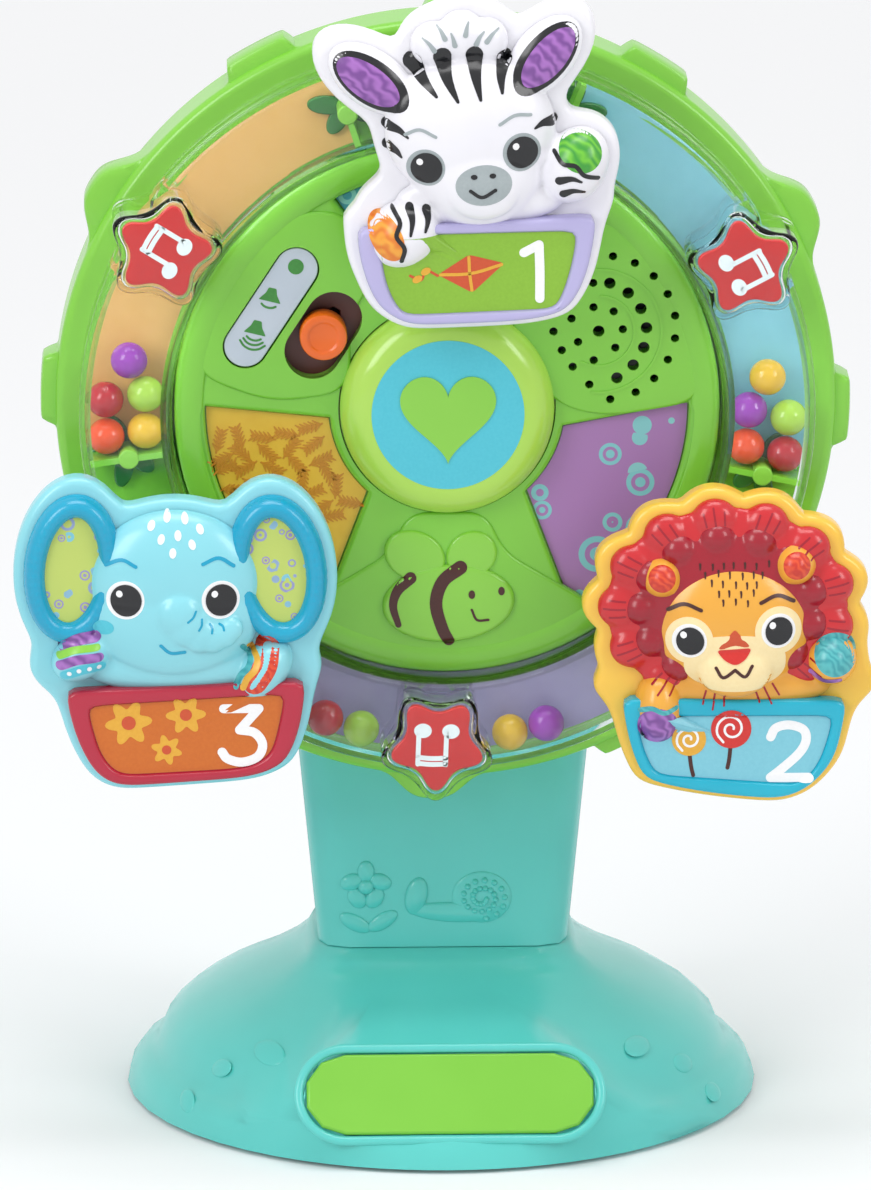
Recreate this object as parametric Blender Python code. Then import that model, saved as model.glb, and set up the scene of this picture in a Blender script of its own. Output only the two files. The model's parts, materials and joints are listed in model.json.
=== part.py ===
"""Toy ferris wheel for a table top: a wheel with three hanging gondolas turns round a fixed hub.

Metres, +Z up. The front faces -Y, and the origin is on the table under the hub.
"""

import math
from collections import namedtuple

import bmesh
import bpy
from mathutils import Matrix, Vector

# Clearances
GAP = 0.0003
RUN_GAP = 0.0006

# Base
BASE_RADIUS = 0.0735
BASE_DEPTH_RATIO = 1.013
BASE_HEIGHT = 0.0380
BASE_LIP = 0.0010
BASE_WALL = 0.0022
BASE_SIDES = 44
BASE_INNER_SIDES = 24
BASE_RING_RATIO = 2
BASE_FRONT_BIAS = 0.5
FLANGE_WIDTH = 0.0065
DOME_RADIUS = BASE_RADIUS - FLANGE_WIDTH
CROWN_MARGIN = 0.0010
CROWN_SQUARENESS = 6.0
DOME_CURVE = (
    (BASE_HEIGHT, 0.0),
    (0.0350, 0.045),
    (0.0320, 0.155),
    (0.0291, 0.30),
    (0.0264, 0.47),
    (0.0238, 0.62),
    (0.0200, 0.80),
    (0.0161, 0.918),
    (0.0102, 0.985),
)
FLANGE_CURVE = (
    (0.0088, BASE_RADIUS - 0.0049),
    (0.0070, BASE_RADIUS - 0.0025),
    (0.0045, BASE_RADIUS - 0.0009),
    (BASE_LIP, BASE_RADIUS),
)
BIB_REACH = BASE_RADIUS - 0.0003
BIB_FOOT = 0.0020
BIB_SLOPE = 0.577
BIB_TOP = 0.0264
BIB_ROUND = 0.0028
BIB_BLEND = 0.0060
BIB_SIDES = ((BIB_TOP, 0.0270), (0.0230, 0.0335), (0.0148, 0.0400), (0.0078, 0.0520), (BASE_LIP, 0.0620))
FLOOR_PLATE_THICKNESS = 0.0016
FLOOR_PLATE_LIFT = 0.0009
FOOT_RING_INNER = 0.0590
FOOT_RING_OUTER = 0.0650
CUP_WELL_RADIUS = 0.0290
CUP_WELL_HEIGHT = 0.0062
CUP_RADIUS = 0.0265
CUP_HOLLOW = 0.0028
CUP_THICKNESS = 0.0024
CUP_BUTTON_LIP = 0.0012
CUP_LIP_WIDTH = 0.0015
CUP_STEM_RADIUS = 0.0055
CUP_STEM_TOP = 0.0120
NAME_PLATE_LENGTH = 0.0668
NAME_PLATE_HEIGHT = 0.0189
NAME_PLATE_MIDDLE = 0.0166
NAME_PLATE_THICKNESS = 0.0010
NAME_PLATE_RECESS = 0.0008
BEYOND = 0.0100
FAR = 0.0900

# Pedestal
HUB_HEIGHT = 0.1731
PEDESTAL_FOOT_HALF_WIDTH = 0.0290
PEDESTAL_TAPER = 0.0970
PEDESTAL_HEAD_RADIUS = 0.0580
PEDESTAL_FILLET = 0.0250
PEDESTAL_FRONT = 0.0200
PEDESTAL_BACK = 0.0190
PEDESTAL_SPLIT = 0.0010
PEDESTAL_WALL = 0.0024
PEDESTAL_ROUND = 0.0070
SCREW_WELL_RADIUS = 0.0040
SCREW_WELL_DEPTH = 0.0080
SCREW_WELL_ORBIT = 0.0440

# Battery compartment
CELL_RADIUS = 0.0072
CELL_LENGTH = 0.0505
CELL_NUB_RADIUS = 0.0027
CELL_NUB_LENGTH = 0.0010
CONTACT_THICKNESS = 0.0005
BATTERY_MIDDLE = 0.0850
BATTERY_BAY_HALF_WIDTH = 0.0150
DOOR_THICKNESS = 0.0020
DOOR_MARGIN = 0.0030
DOOR_CORNER = 0.0040
DOOR_ROUND = 0.0006
BAY_CORNER = 0.0008

# Hub
HUB_RADIUS = 0.0622
DRUM_BACK = 0.0203
DRUM_WALL = 0.0022
COVER_BACK = 0.0386
COVER_FRONT = 0.0426
COVER_RIM_FRONT = 0.0437
COVER_RIM_INNER = 0.0556
COVER_SKIRT_WALL = 0.0022
HUB_SIDES = 40
WINDOW_FLOOR = 0.0398
WINDOW_INNER = 0.0268
WINDOW_OUTER = 0.0552
LABEL_THICKNESS = 0.0005
BUTTON_RADIUS = 0.0245
BUTTON_FRONT = 0.0493
BUTTON_FACE_RADIUS = 0.0176
BUTTON_FLANGE = 0.0012
BUTTON_WALL = 0.0020
BUTTON_TRAVEL = 0.0020
BOARD_RADIUS = 0.0500
BOARD_BACK = 0.0290
BOARD_THICKNESS = 0.0016
BOARD_POST_ORBIT = 0.0420
BOARD_POST_RADIUS = 0.0030
SPEAKER_RADIUS = 0.0145
SPEAKER_OUTWARD = 1.065
SPEAKER_DEPTH = 0.0066
SPEAKER_LIFT = 0.0035
GRILLE_X = 0.0345
GRILLE_Z = 0.0179
GRILLE_HOLE_SIDES = 6
GRILLE_CENTRE_HOLE = 0.0016
GRILLE_SMALL_HOLE = 0.0009
GRILLE_LARGE_HOLE = 0.0013
GRILLE_INNER_RING = 0.0056
GRILLE_MIDDLE_RING = 0.0109
GRILLE_OUTER_START = 0.0176
GRILLE_OUTER_END = 0.0150
GRILLE_INNER_COUNT = 7
GRILLE_MIDDLE_COUNT = 9
GRILLE_OUTER_COUNT = 13
LAMP_RADIUS = 0.0025
LAMP_LENGTH = 0.0050
LAMP_OFFSET = 0.0080
DOME_SWITCH_STEP = 0.0008
DOME_COLLAR = 1.2
DOME_TIP = 0.6
BUTTON_DOME_RADIUS = 0.0040
SWITCH_LENGTH = 0.0200
SWITCH_WIDTH = 0.0070
SWITCH_HEIGHT = 0.0022

# Volume slide
SLOT_X = -0.0282
SLOT_Z = 0.0174
SLOT_ANGLE = 57.0
SLOT_LENGTH = 0.0218
SLOT_WIDTH = 0.0129
KNOB_RADIUS = 0.0054
KNOB_FRONT = 0.0458
KNOB_STEM_RADIUS = 0.0014
KNOB_ROUND = 0.0006
KNOB_DISH = 0.0005
KNOB_RING = 0.72
KNOB_RING_INNER = 0.60
TRAY_MARGIN = 0.0025
TRAY_THICKNESS = 0.0012
VOLUME_PLATE_X = -0.0401
VOLUME_PLATE_Z = 0.0239
VOLUME_PLATE_LENGTH = 0.0314
VOLUME_PLATE_WIDTH = 0.0100
VOLUME_PLATE_THICKNESS = 0.0008
VOLUME_PLATE_RECESS = 0.0006

# Bee in relief on the hub cover
BEE_X = 0.0003
BEE_Z = -0.0458
BEE_HALF_LENGTH = 0.0152
BEE_HALF_HEIGHT = 0.0094
BEE_RELIEF = 0.0012
BEE_ROUND = 0.0004
BEE_WING_SIDES = 12
BEE_WINGS = ((-0.0082, -0.0336, 0.0072, 0.0060), (0.0046, -0.0334, 0.0052, 0.0056))

# Wheel
WHEEL_TURN = 2.0
WHEEL_BACK = 0.0223
RING_FRONT = 0.0370
RING_RADIUS = 0.0892
RING_WALL = 0.0026
RING_WEB = 0.0024
RING_ROUND = 0.0022
BORE_RADIUS = HUB_RADIUS + RUN_GAP
LIP_DEPTH = 0.0028
LIP_BACK = 0.0297
LIP_FRONT = 0.0330
LUG_COUNT = 12
LUG_WIDTH = 0.0160
LUG_REACH = 0.0926
STAR_LUG_REACH = 0.0952
STAR_LUG_WIDTH = 0.0180
LUG_ROUND = 0.0022
STAR_LUG_ROUND = 0.0050
CLEAR_RADIUS = 0.0840
CLEAR_FRONT = 0.0497
CLEAR_WALL = 0.0017
CLEAR_ROUND = 0.0028
PIVOT_ORBIT = 0.0750
PIVOT_ANGLES = (90, 210, 330)
STAR_ANGLES = (30, 150, 270)
DIVIDER_OFFSET = 20.0
DIVIDER_THICKNESS = 0.0014
LABEL_MARGIN = 2.1
BOSS_RADIUS = 0.0022
BOSS_ORBIT = 0.0734
STAR_ORBIT = 0.0760
STAR_MEAN_RADIUS = 0.00905
STAR_POINT = 0.0016
STAR_STEPS = 20
STAR_FRONT = 0.0580
STAR_THICKNESS = 0.0020
BUBBLE_MARGIN = 0.0024
BUBBLE_WALL = 0.0015
BUBBLE_ROUND = 0.0016
BALL_RADIUS = 0.00415
POST_RADIUS = 0.0060
POST_FRONT = 0.0570
PIN_RADIUS = 0.0022
PIN_HEAD_RADIUS = 0.0042
PIN_HEAD_THICKNESS = 0.0022
PIN_CLEARANCE = 0.0004
WHEEL_SIDES = 40
PIN_DEPTH = 0.0150

# Gondolas
PLAQUE_BACK = 0.0600
PLAQUE_THICKNESS = 0.0060
PLAQUE_MARGIN = 0.0022
PLAQUE_ROUND = 0.0018
PLAQUE_BLEND = 0.0016
PLAQUE_POINTS = 46
TRACE_REACH = 0.0700
TRACE_STEPS = 140
FIGURE_REACH_DOWN = 0.72
PLAQUE_STANDOFF = 0.0024
STANDOFF_RADIUS = 0.0060
WELL_SIDES = 14
BASKET_HALF_WIDTH = 0.0272
BASKET_HEIGHT = 0.0225
BASKET_SLOPE = 0.2600
BASKET_FRONT = 0.0708
BASKET_RIM = 0.0022
BASKET_PANEL_DEPTH = 0.0012
BASKET_CORNER = 0.0030
BASKET_POINTS = 22

MM = 0.001

Oval = namedtuple("Oval", "u v half_u half_v tilt depth")
Basket = namedtuple("Basket", "u v tilt")
Gondola = namedtuple("Gondola", "name pivot ovals basket plaque_colour figure_colour basket_colour")

HEAD_DEPTH = 0.0095
EAR_DEPTH = 0.0046
PAW_DEPTH = 0.0080
TUFT_DEPTH = 0.0050
CHEST_DEPTH = 0.0042


def oval(u, v, half_u, half_v, depth, tilt=0.0):
    """An oval of a figure, in millimetres from the gondola's pivot."""
    return Oval(u * MM, v * MM, half_u * MM, half_v * MM, math.radians(tilt), depth)


ZEBRA = (
    oval(2.0, -7.0, 19.0, 18.6, HEAD_DEPTH),
    oval(-20.5, 7.6, 11.0, 6.6, EAR_DEPTH, -36),
    oval(19.8, 15.2, 11.0, 6.8, EAR_DEPTH, 50),
    oval(-0.6, 17.0, 9.0, 7.4, TUFT_DEPTH),
    oval(25.4, -12.6, 7.4, 9.2, PAW_DEPTH, -28),
    oval(-13.2, -28.2, 9.0, 7.6, PAW_DEPTH, 35),
    oval(4.0, -20.5, 19.0, 6.0, CHEST_DEPTH),
)
ELEPHANT = (
    oval(3.6, -2.0, 20.0, 19.4, HEAD_DEPTH),
    oval(-19.6, 4.4, 11.0, 17.4, EAR_DEPTH, -6),
    oval(27.0, 4.0, 11.2, 17.4, EAR_DEPTH, 8),
    oval(-17.6, -16.0, 7.4, 5.4, PAW_DEPTH, 32),
    oval(23.8, -19.6, 8.2, 5.4, PAW_DEPTH, 50),
    oval(3.6, -19.0, 21.0, 6.0, CHEST_DEPTH),
)
LION = (
    oval(0.4, -5.2, 18.4, 16.2, HEAD_DEPTH),
    oval(-15.6, 6.2, 5.0, 5.0, PAW_DEPTH),
    oval(14.6, 9.0, 5.0, 5.0, PAW_DEPTH),
    oval(-16.2, -24.6, 5.6, 8.4, PAW_DEPTH),
    oval(23.0, -13.6, 6.0, 6.0, PAW_DEPTH),
    oval(1.0, -20.0, 22.0, 5.4, CHEST_DEPTH),
)
MANE_U = -0.0007
MANE_V = -0.0010
MANE_RADIUS = 0.0293
MANE_SQUASH = 0.836
MANE_SCALLOP = 0.0014
MANE_SCALLOPS = 13
MANE_ROUND = 0.0016
MANE_INNER_RADIUS = 0.0246
MANE_LEVELS = ((MANE_RADIUS, 0.0036), (MANE_INNER_RADIUS, 0.0056))
MANE_POINTS_EACH = 3

GONDOLAS = (
    Gondola("zebra", 90.0, ZEBRA, Basket(0.0028, -0.0246, 0.0), "F2F1F6", "F2F1F6", "B9B3DC"),
    Gondola("elephant", 210.0, ELEPHANT, Basket(0.0070, -0.0232, 2.5), "8FD9E6", "5CC6DA", "B32238"),
    Gondola("lion", 330.0, LION, Basket(0.0010, -0.0224, -2.5), "F5C84F", "E9A63A", "12B3CF"),
)

GREEN = "7CC63A"
PALE_GREEN = "9AD64F"
TURQUOISE = "5CCBC5"
SILVER = "B6C0CC"
BALL_COLOURS = {"purple": "9B3FB0", "red": "B5202A", "lime": "A9D04A", "orange": "E8501E", "yellow": "E5B830"}


def clear_scene():
    for item in list(bpy.data.objects):
        bpy.data.objects.remove(item, do_unlink=True)


def linear(channel):
    return channel / 12.92 if channel <= 0.04045 else ((channel + 0.055) / 1.055) ** 2.4


def material(name, colour, roughness=0.3, metallic=0.0, transmission=0.0):
    """A Principled material in an sRGB hex colour."""
    made = bpy.data.materials.new(name)
    made.use_nodes = True
    shader = made.node_tree.nodes["Principled BSDF"]
    channels = [linear(int(colour[i : i + 2], 16) / 255) for i in (0, 2, 4)]
    shader.inputs["Base Color"].default_value = (*channels, 1.0)
    shader.inputs["Roughness"].default_value = roughness
    shader.inputs["Metallic"].default_value = metallic
    shader.inputs["Transmission Weight"].default_value = transmission
    return made


def object_from(bm, name):
    """An object from a bmesh, with its normals outward."""
    bmesh.ops.remove_doubles(bm, verts=bm.verts, dist=1e-7)
    bmesh.ops.recalc_face_normals(bm, faces=bm.faces)
    mesh = bpy.data.meshes.new(name)
    bm.to_mesh(mesh)
    bm.free()
    made = bpy.data.objects.new(name, mesh)
    bpy.context.collection.objects.link(made)
    return made


def combine(target, tool, operation):
    """Applies a Boolean of tool to target and removes the tool."""
    modifier = target.modifiers.new(operation, "BOOLEAN")
    modifier.object = tool
    modifier.operation = operation
    modifier.solver = "EXACT"
    graph = bpy.context.evaluated_depsgraph_get()
    mesh = bpy.data.meshes.new_from_object(target.evaluated_get(graph))
    target.modifiers.clear()
    target.data = mesh
    bpy.data.objects.remove(tool, do_unlink=True)


def fuse(target, *tools):
    for tool in tools:
        combine(target, tool, "UNION")


def cut(target, *tools):
    for tool in tools:
        combine(target, tool, "DIFFERENCE")


def finish(made, surface, parent=None):
    """Shades the piece, gives it its material and hangs it under its parent."""
    made.data.materials.clear()
    made.data.materials.append(surface)
    made.data.shade_smooth()
    made.data.set_sharp_from_angle(angle=math.radians(38))
    made.parent = parent
    return made


def turned(name, profile, sides, axis="Y", closed=True):
    """Turns a profile of (radius, place along the axis). An open profile starts and ends on the axis."""
    along_y = axis == "Y"
    bm = bmesh.new()
    verts = [bm.verts.new((r, h, 0.0) if along_y else (r, 0.0, h)) for r, h in profile]
    pairs = list(zip(verts, verts[1:]))
    if closed:
        pairs.append((verts[-1], verts[0]))
    edges = [bm.edges.new(pair) for pair in pairs]
    bmesh.ops.spin(
        bm,
        geom=verts + edges,
        cent=(0.0, 0.0, 0.0),
        axis=(0.0, 1.0, 0.0) if along_y else (0.0, 0.0, 1.0),
        angle=math.tau,
        steps=sides,
        use_merge=True,
    )
    return object_from(bm, name)


def front_face(bm, outline, y):
    """A face from (x, z) points at a depth, facing the front."""
    face = bm.faces.new([bm.verts.new((x, y, z)) for x, z in outline])
    face.normal_update()
    if face.normal.y > 0:
        face.normal_flip()
    return face


def plate(name, outline, back, front, steps=()):
    """Extrudes an (x, z) outline from the depth back to front, both measured forward, then insets
    the front face by steps of (inset, rise)."""
    bm = bmesh.new()
    face = front_face(bm, outline, -back)
    turned_back = bmesh.ops.extrude_face_region(bm, geom=[face])["geom"]
    moved = [item for item in turned_back if isinstance(item, bmesh.types.BMVert)]
    bmesh.ops.translate(bm, verts=moved, vec=(0.0, back - front, 0.0))
    face = next(item for item in turned_back if isinstance(item, bmesh.types.BMFace))
    bmesh.ops.recalc_face_normals(bm, faces=bm.faces)
    for inset, rise in steps:
        if inset:
            bmesh.ops.inset_region(bm, faces=[face], thickness=inset, depth=0.0, use_even_offset=True)
        else:
            lifted = bmesh.ops.extrude_face_region(bm, geom=[face])["geom"]
            bmesh.ops.delete(bm, geom=[face], context="FACES_ONLY")
            face = next(item for item in lifted if isinstance(item, bmesh.types.BMFace))
        bmesh.ops.translate(bm, verts=list(face.verts), vec=(0.0, -rise, 0.0))
    return object_from(bm, name)


def rounded_edge(radius, steps=3):
    """Steps of (inset, rise) that round an edge off over a quarter circle."""
    angles = [math.pi / 2 * i / steps for i in range(steps + 1)]
    return [
        (radius * (math.cos(a) - math.cos(b)), radius * (math.sin(b) - math.sin(a)))
        for a, b in zip(angles, angles[1:])
    ]


def arc(radius, start, end, count, x=0.0, z=0.0):
    """Points on an arc from start to end, in degrees."""
    angles = [math.radians(start + (end - start) * i / (count - 1)) for i in range(count)]
    return [(x + radius * math.cos(a), z + radius * math.sin(a)) for a in angles]


def circle(radius, sides, x=0.0, z=0.0):
    return arc(radius, 0.0, 360.0 - 360.0 / sides, sides, x, z)


def stadium(length, width, angle=0.0, x=0.0, z=0.0, steps=6):
    """A slot outline with round ends, turned by an angle in degrees."""
    half = (length - width) / 2
    points = arc(width / 2, -90, 90, steps, half) + arc(width / 2, 90, 270, steps, -half)
    turn = math.radians(angle)
    return [
        (x + u * math.cos(turn) - v * math.sin(turn), z + u * math.sin(turn) + v * math.cos(turn))
        for u, v in points
    ]


def rounded_rectangle(half_width, half_height, corner, x=0.0, z=0.0, steps=4):
    points = []
    for sign_x, sign_z, start in ((1, 1, 0), (-1, 1, 90), (-1, -1, 180), (1, -1, 270)):
        points += arc(
            corner,
            start,
            start + 90,
            steps,
            x + sign_x * (half_width - corner),
            z + sign_z * (half_height - corner),
        )
    return points


def placed(outline, orbit, degrees):
    """An outline drawn round the origin, moved out to an orbit, with its top outward."""
    turn = math.radians(degrees - 90)
    x, z = orbit * math.cos(math.radians(degrees)), orbit * math.sin(math.radians(degrees))
    return [
        (x + u * math.cos(turn) - v * math.sin(turn), z + u * math.sin(turn) + v * math.cos(turn))
        for u, v in outline
    ]


def empty(name, location, parent=None, turn=0.0):
    made = bpy.data.objects.new(name, None)
    made.location = location
    made.rotation_euler = (0.0, math.radians(turn), 0.0)
    made.parent = parent
    bpy.context.collection.objects.link(made)
    return made


# Base


def between(table, height):
    """Reads a table of (height, size) pairs that run downward, straight from pair to pair."""
    if height >= table[0][0]:
        return table[0][1]
    for (upper, near), (lower, far) in zip(table, table[1:]):
        if height >= lower:
            return near + (far - near) * (upper - height) / (upper - lower)
    return table[-1][1]


def crown_reach(around):
    """From the axis to the edge of the crown, a rounded rectangle under the pedestal."""
    half_width, half_depth = PEDESTAL_FOOT_HALF_WIDTH + CROWN_MARGIN, PEDESTAL_FRONT + CROWN_MARGIN
    across = (abs(math.sin(around)) / half_width) ** CROWN_SQUARENESS
    along = (abs(math.cos(around)) / half_depth) ** CROWN_SQUARENESS
    return (across + along) ** (-1 / CROWN_SQUARENESS)


def bib_reach(height, around):
    """From the axis to the bib's leaning face, whose top edge is rounded off."""
    past = max(0.0, height - BIB_TOP + BIB_ROUND)
    rounding = BIB_ROUND - math.sqrt(BIB_ROUND**2 - past**2)
    face = BIB_REACH - BIB_SLOPE * (height - BIB_FOOT) - rounding
    return min(face / max(math.cos(around), face / BASE_RADIUS), BIB_REACH)


def dome_reach(height, around):
    """From the axis to the base's outer face where there is no bib."""
    if height <= FLANGE_CURVE[0][0]:
        return between(FLANGE_CURVE, height)
    crown = crown_reach(around)
    return crown + (DOME_RADIUS - crown) * between(DOME_CURVE, height)


def base_reach(height, around):
    """From the axis to the base's outer face, at a height and an angle from the front."""
    plain = dome_reach(height, around)
    if height > BIB_TOP or math.cos(around) <= 0:
        return plain
    bib = max(plain, bib_reach(height, around))
    inside = 0.5 + (between(BIB_SIDES, height) - bib * abs(math.sin(around))) / BIB_BLEND
    share = min(1.0, max(0.0, inside))
    return plain + (bib - plain) * share * share * (3 - 2 * share)


def front_biased(x, y):
    """Turns an even spacing round the axis into one that is denser at the front."""
    around = math.atan2(x, -y)
    return around - BASE_FRONT_BIAS * math.sin(around)


def base_body(name, reach, inset, sides, rings):
    """A closed body round the axis whose rings follow a reach, drawn in by a wall."""
    profile = [(0.0, rings[0])] + [(BASE_RADIUS, ring) for ring in rings] + [(0.0, rings[-1])]
    body = turned(name, profile, sides, "Z", closed=False)
    for vert in body.data.vertices:
        x, y, z = vert.co
        if math.hypot(x, y) > inset + GAP:
            around = front_biased(x, y)
            out = reach(max(z + inset, BASE_LIP), around) - inset
            vert.co = (out * math.sin(around), -out * math.cos(around) * BASE_DEPTH_RATIO, z)
    return body


def base_shell():
    """The turquoise foot: a dome in a flange, with a leaning bib swelling out at the front."""
    rings = [height for height, _ in DOME_CURVE + FLANGE_CURVE]
    shell = base_body("base_shell", base_reach, 0.0, BASE_SIDES, rings)
    recess = plate(
        "recess",
        stadium(NAME_PLATE_LENGTH + 2 * GAP, NAME_PLATE_HEIGHT + 2 * GAP),
        -NAME_PLATE_RECESS,
        BEYOND,
    )
    recess.data.transform(bib_matrix())
    inner_rings = [height - BASE_WALL for height in rings[::BASE_RING_RATIO]] + [BASE_LIP - BEYOND]
    hollow = base_body("hollow", dome_reach, BASE_WALL, BASE_INNER_SIDES, inner_rings)
    cut(shell, recess, hollow)
    return shell


def bib_matrix():
    """Lays a front view plate on the bib's face, at the name plate's middle."""
    reach = BIB_REACH - BIB_SLOPE * (NAME_PLATE_MIDDLE - BIB_FOOT)
    lean = Matrix.Rotation(-math.atan(BIB_SLOPE * BASE_DEPTH_RATIO), 4, "X")
    return Matrix.Translation((0.0, -reach * BASE_DEPTH_RATIO, NAME_PLATE_MIDDLE)) @ lean


def name_plate():
    made = plate(
        "name_plate",
        stadium(NAME_PLATE_LENGTH, NAME_PLATE_HEIGHT),
        GAP - NAME_PLATE_RECESS,
        GAP - NAME_PLATE_RECESS + NAME_PLATE_THICKNESS / 2,
        rounded_edge(NAME_PLATE_THICKNESS / 2, 1),
    )
    made.data.transform(bib_matrix())
    return made


def base_bottom():
    """The floor plate, with the foot ring that the toy stands on and a well for the suction cup."""
    low, high = FLOOR_PLATE_LIFT, FLOOR_PLATE_LIFT + FLOOR_PLATE_THICKNESS
    edge = base_reach(high + BASE_WALL, math.pi) - BASE_WALL - RUN_GAP
    well = CUP_WELL_HEIGHT
    bore = CUP_STEM_RADIUS + GAP
    profile = [
        (bore, well),
        (CUP_WELL_RADIUS, well),
        (CUP_WELL_RADIUS, low),
        (FOOT_RING_INNER, low),
        (FOOT_RING_INNER + low / 2, 0.0),
        (FOOT_RING_OUTER - low / 2, 0.0),
        (FOOT_RING_OUTER, low),
        (edge, low),
        (edge, high),
        (CUP_WELL_RADIUS + FLOOR_PLATE_THICKNESS, high),
        (CUP_WELL_RADIUS + FLOOR_PLATE_THICKNESS, well + FLOOR_PLATE_THICKNESS),
        (bore, well + FLOOR_PLATE_THICKNESS),
    ]
    bottom = turned("base_bottom", profile, BASE_INNER_SIDES, "Z")
    for vert in bottom.data.vertices:
        x, y, z = vert.co
        reach, around = math.hypot(x, y), front_biased(x, y)
        vert.co = (reach * math.sin(around), -reach * math.cos(around) * BASE_DEPTH_RATIO, z)
    return bottom


def suction_cup():
    """A shallow rubber cup whose lip lies on the table and whose stem passes the floor plate."""
    top = CUP_WELL_HEIGHT - GAP
    stem = CUP_STEM_RADIUS
    button = stem + CUP_BUTTON_LIP
    plate_top = CUP_WELL_HEIGHT + FLOOR_PLATE_THICKNESS
    profile = [
        (0.0, CUP_HOLLOW),
        (CUP_RADIUS * 0.5, CUP_HOLLOW * 0.8),
        (CUP_RADIUS - CUP_LIP_WIDTH, 0.0),
        (CUP_RADIUS, GAP),
        (CUP_RADIUS * 0.6, CUP_HOLLOW * 0.7 + CUP_THICKNESS),
        (stem + CUP_THICKNESS, top),
        (stem, top),
        (stem, plate_top + GAP),
        (button, plate_top + GAP),
        (button, plate_top + 3 * GAP),
        (stem * 0.7, CUP_STEM_TOP),
        (0.0, CUP_STEM_TOP),
    ]
    return turned("suction_cup", profile, 16, "Z", closed=False)


# Pedestal


def pedestal_outline(drop=0.0):
    """A tapered column that runs into a round head by a fillet, its foot carried down by a drop."""
    foot = BASE_HEIGHT + GAP - HUB_HEIGHT
    lean = math.atan(PEDESTAL_TAPER)
    stretch = math.sqrt(1 + PEDESTAL_TAPER**2)
    base_x = PEDESTAL_FOOT_HALF_WIDTH - PEDESTAL_TAPER * foot + PEDESTAL_FILLET * stretch
    reach = PEDESTAL_HEAD_RADIUS + PEDESTAL_FILLET
    a, b, c = 1 + PEDESTAL_TAPER**2, 2 * base_x * PEDESTAL_TAPER, base_x**2 - reach**2
    z = (-b - math.sqrt(b * b - 4 * a * c)) / (2 * a)
    x = base_x + PEDESTAL_TAPER * z
    head_angle = math.degrees(math.atan2(z, x))
    line_angle = 180 - math.degrees(lean)
    fillet = arc(PEDESTAL_FILLET, line_angle, 180 + head_angle, 4, x, z)
    head = arc(PEDESTAL_HEAD_RADIUS, head_angle, 90, 11)
    foot_corner = (PEDESTAL_FOOT_HALF_WIDTH - PEDESTAL_TAPER * drop, foot - drop)
    right = [foot_corner] + fillet[:-1] + head
    return right + [(-u, v) for u, v in right[::-1][1:]]


def pedestal_half(name, near, far):
    """A shell of the pedestal from the split to its face, open at the split, its foot cut off square."""
    taller = pedestal_outline(2 * PEDESTAL_ROUND)
    shell = plate(name, taller, near, far - PEDESTAL_ROUND, rounded_edge(PEDESTAL_ROUND, 2))
    foot = BASE_HEIGHT + GAP - HUB_HEIGHT
    deep = 2 * PEDESTAL_ROUND
    off = rounded_rectangle(2 * PEDESTAL_FOOT_HALF_WIDTH, deep, GAP, z=foot - deep)
    inner_round = PEDESTAL_ROUND - PEDESTAL_WALL
    inside = far - PEDESTAL_WALL - inner_round
    inner = inner_outline(pedestal_outline(), PEDESTAL_WALL)
    hollow = plate("hollow", inner, near - BEYOND, inside, rounded_edge(inner_round, 1))
    cut(shell, plate("off", off, near - BEYOND, far + BEYOND), hollow)
    return shell


def inner_outline(outline, inset):
    """The outline moved in by a wall."""
    bm = bmesh.new()
    face = front_face(bm, outline, 0.0)
    bmesh.ops.inset_region(
        bm, faces=[face], thickness=inset, depth=0.0, use_even_offset=True, use_boundary=True
    )
    points = [(loop.vert.co.x, loop.vert.co.z) for loop in face.loops]
    bm.free()
    return points


def pedestal_front():
    return pedestal_half("pedestal_front", PEDESTAL_SPLIT + GAP, PEDESTAL_FRONT)


def bay_half_height():
    return CELL_LENGTH / 2 + CELL_NUB_LENGTH + 2 * GAP + CONTACT_THICKNESS + GAP


def bay_middle():
    return BATTERY_MIDDLE - HUB_HEIGHT


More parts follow.
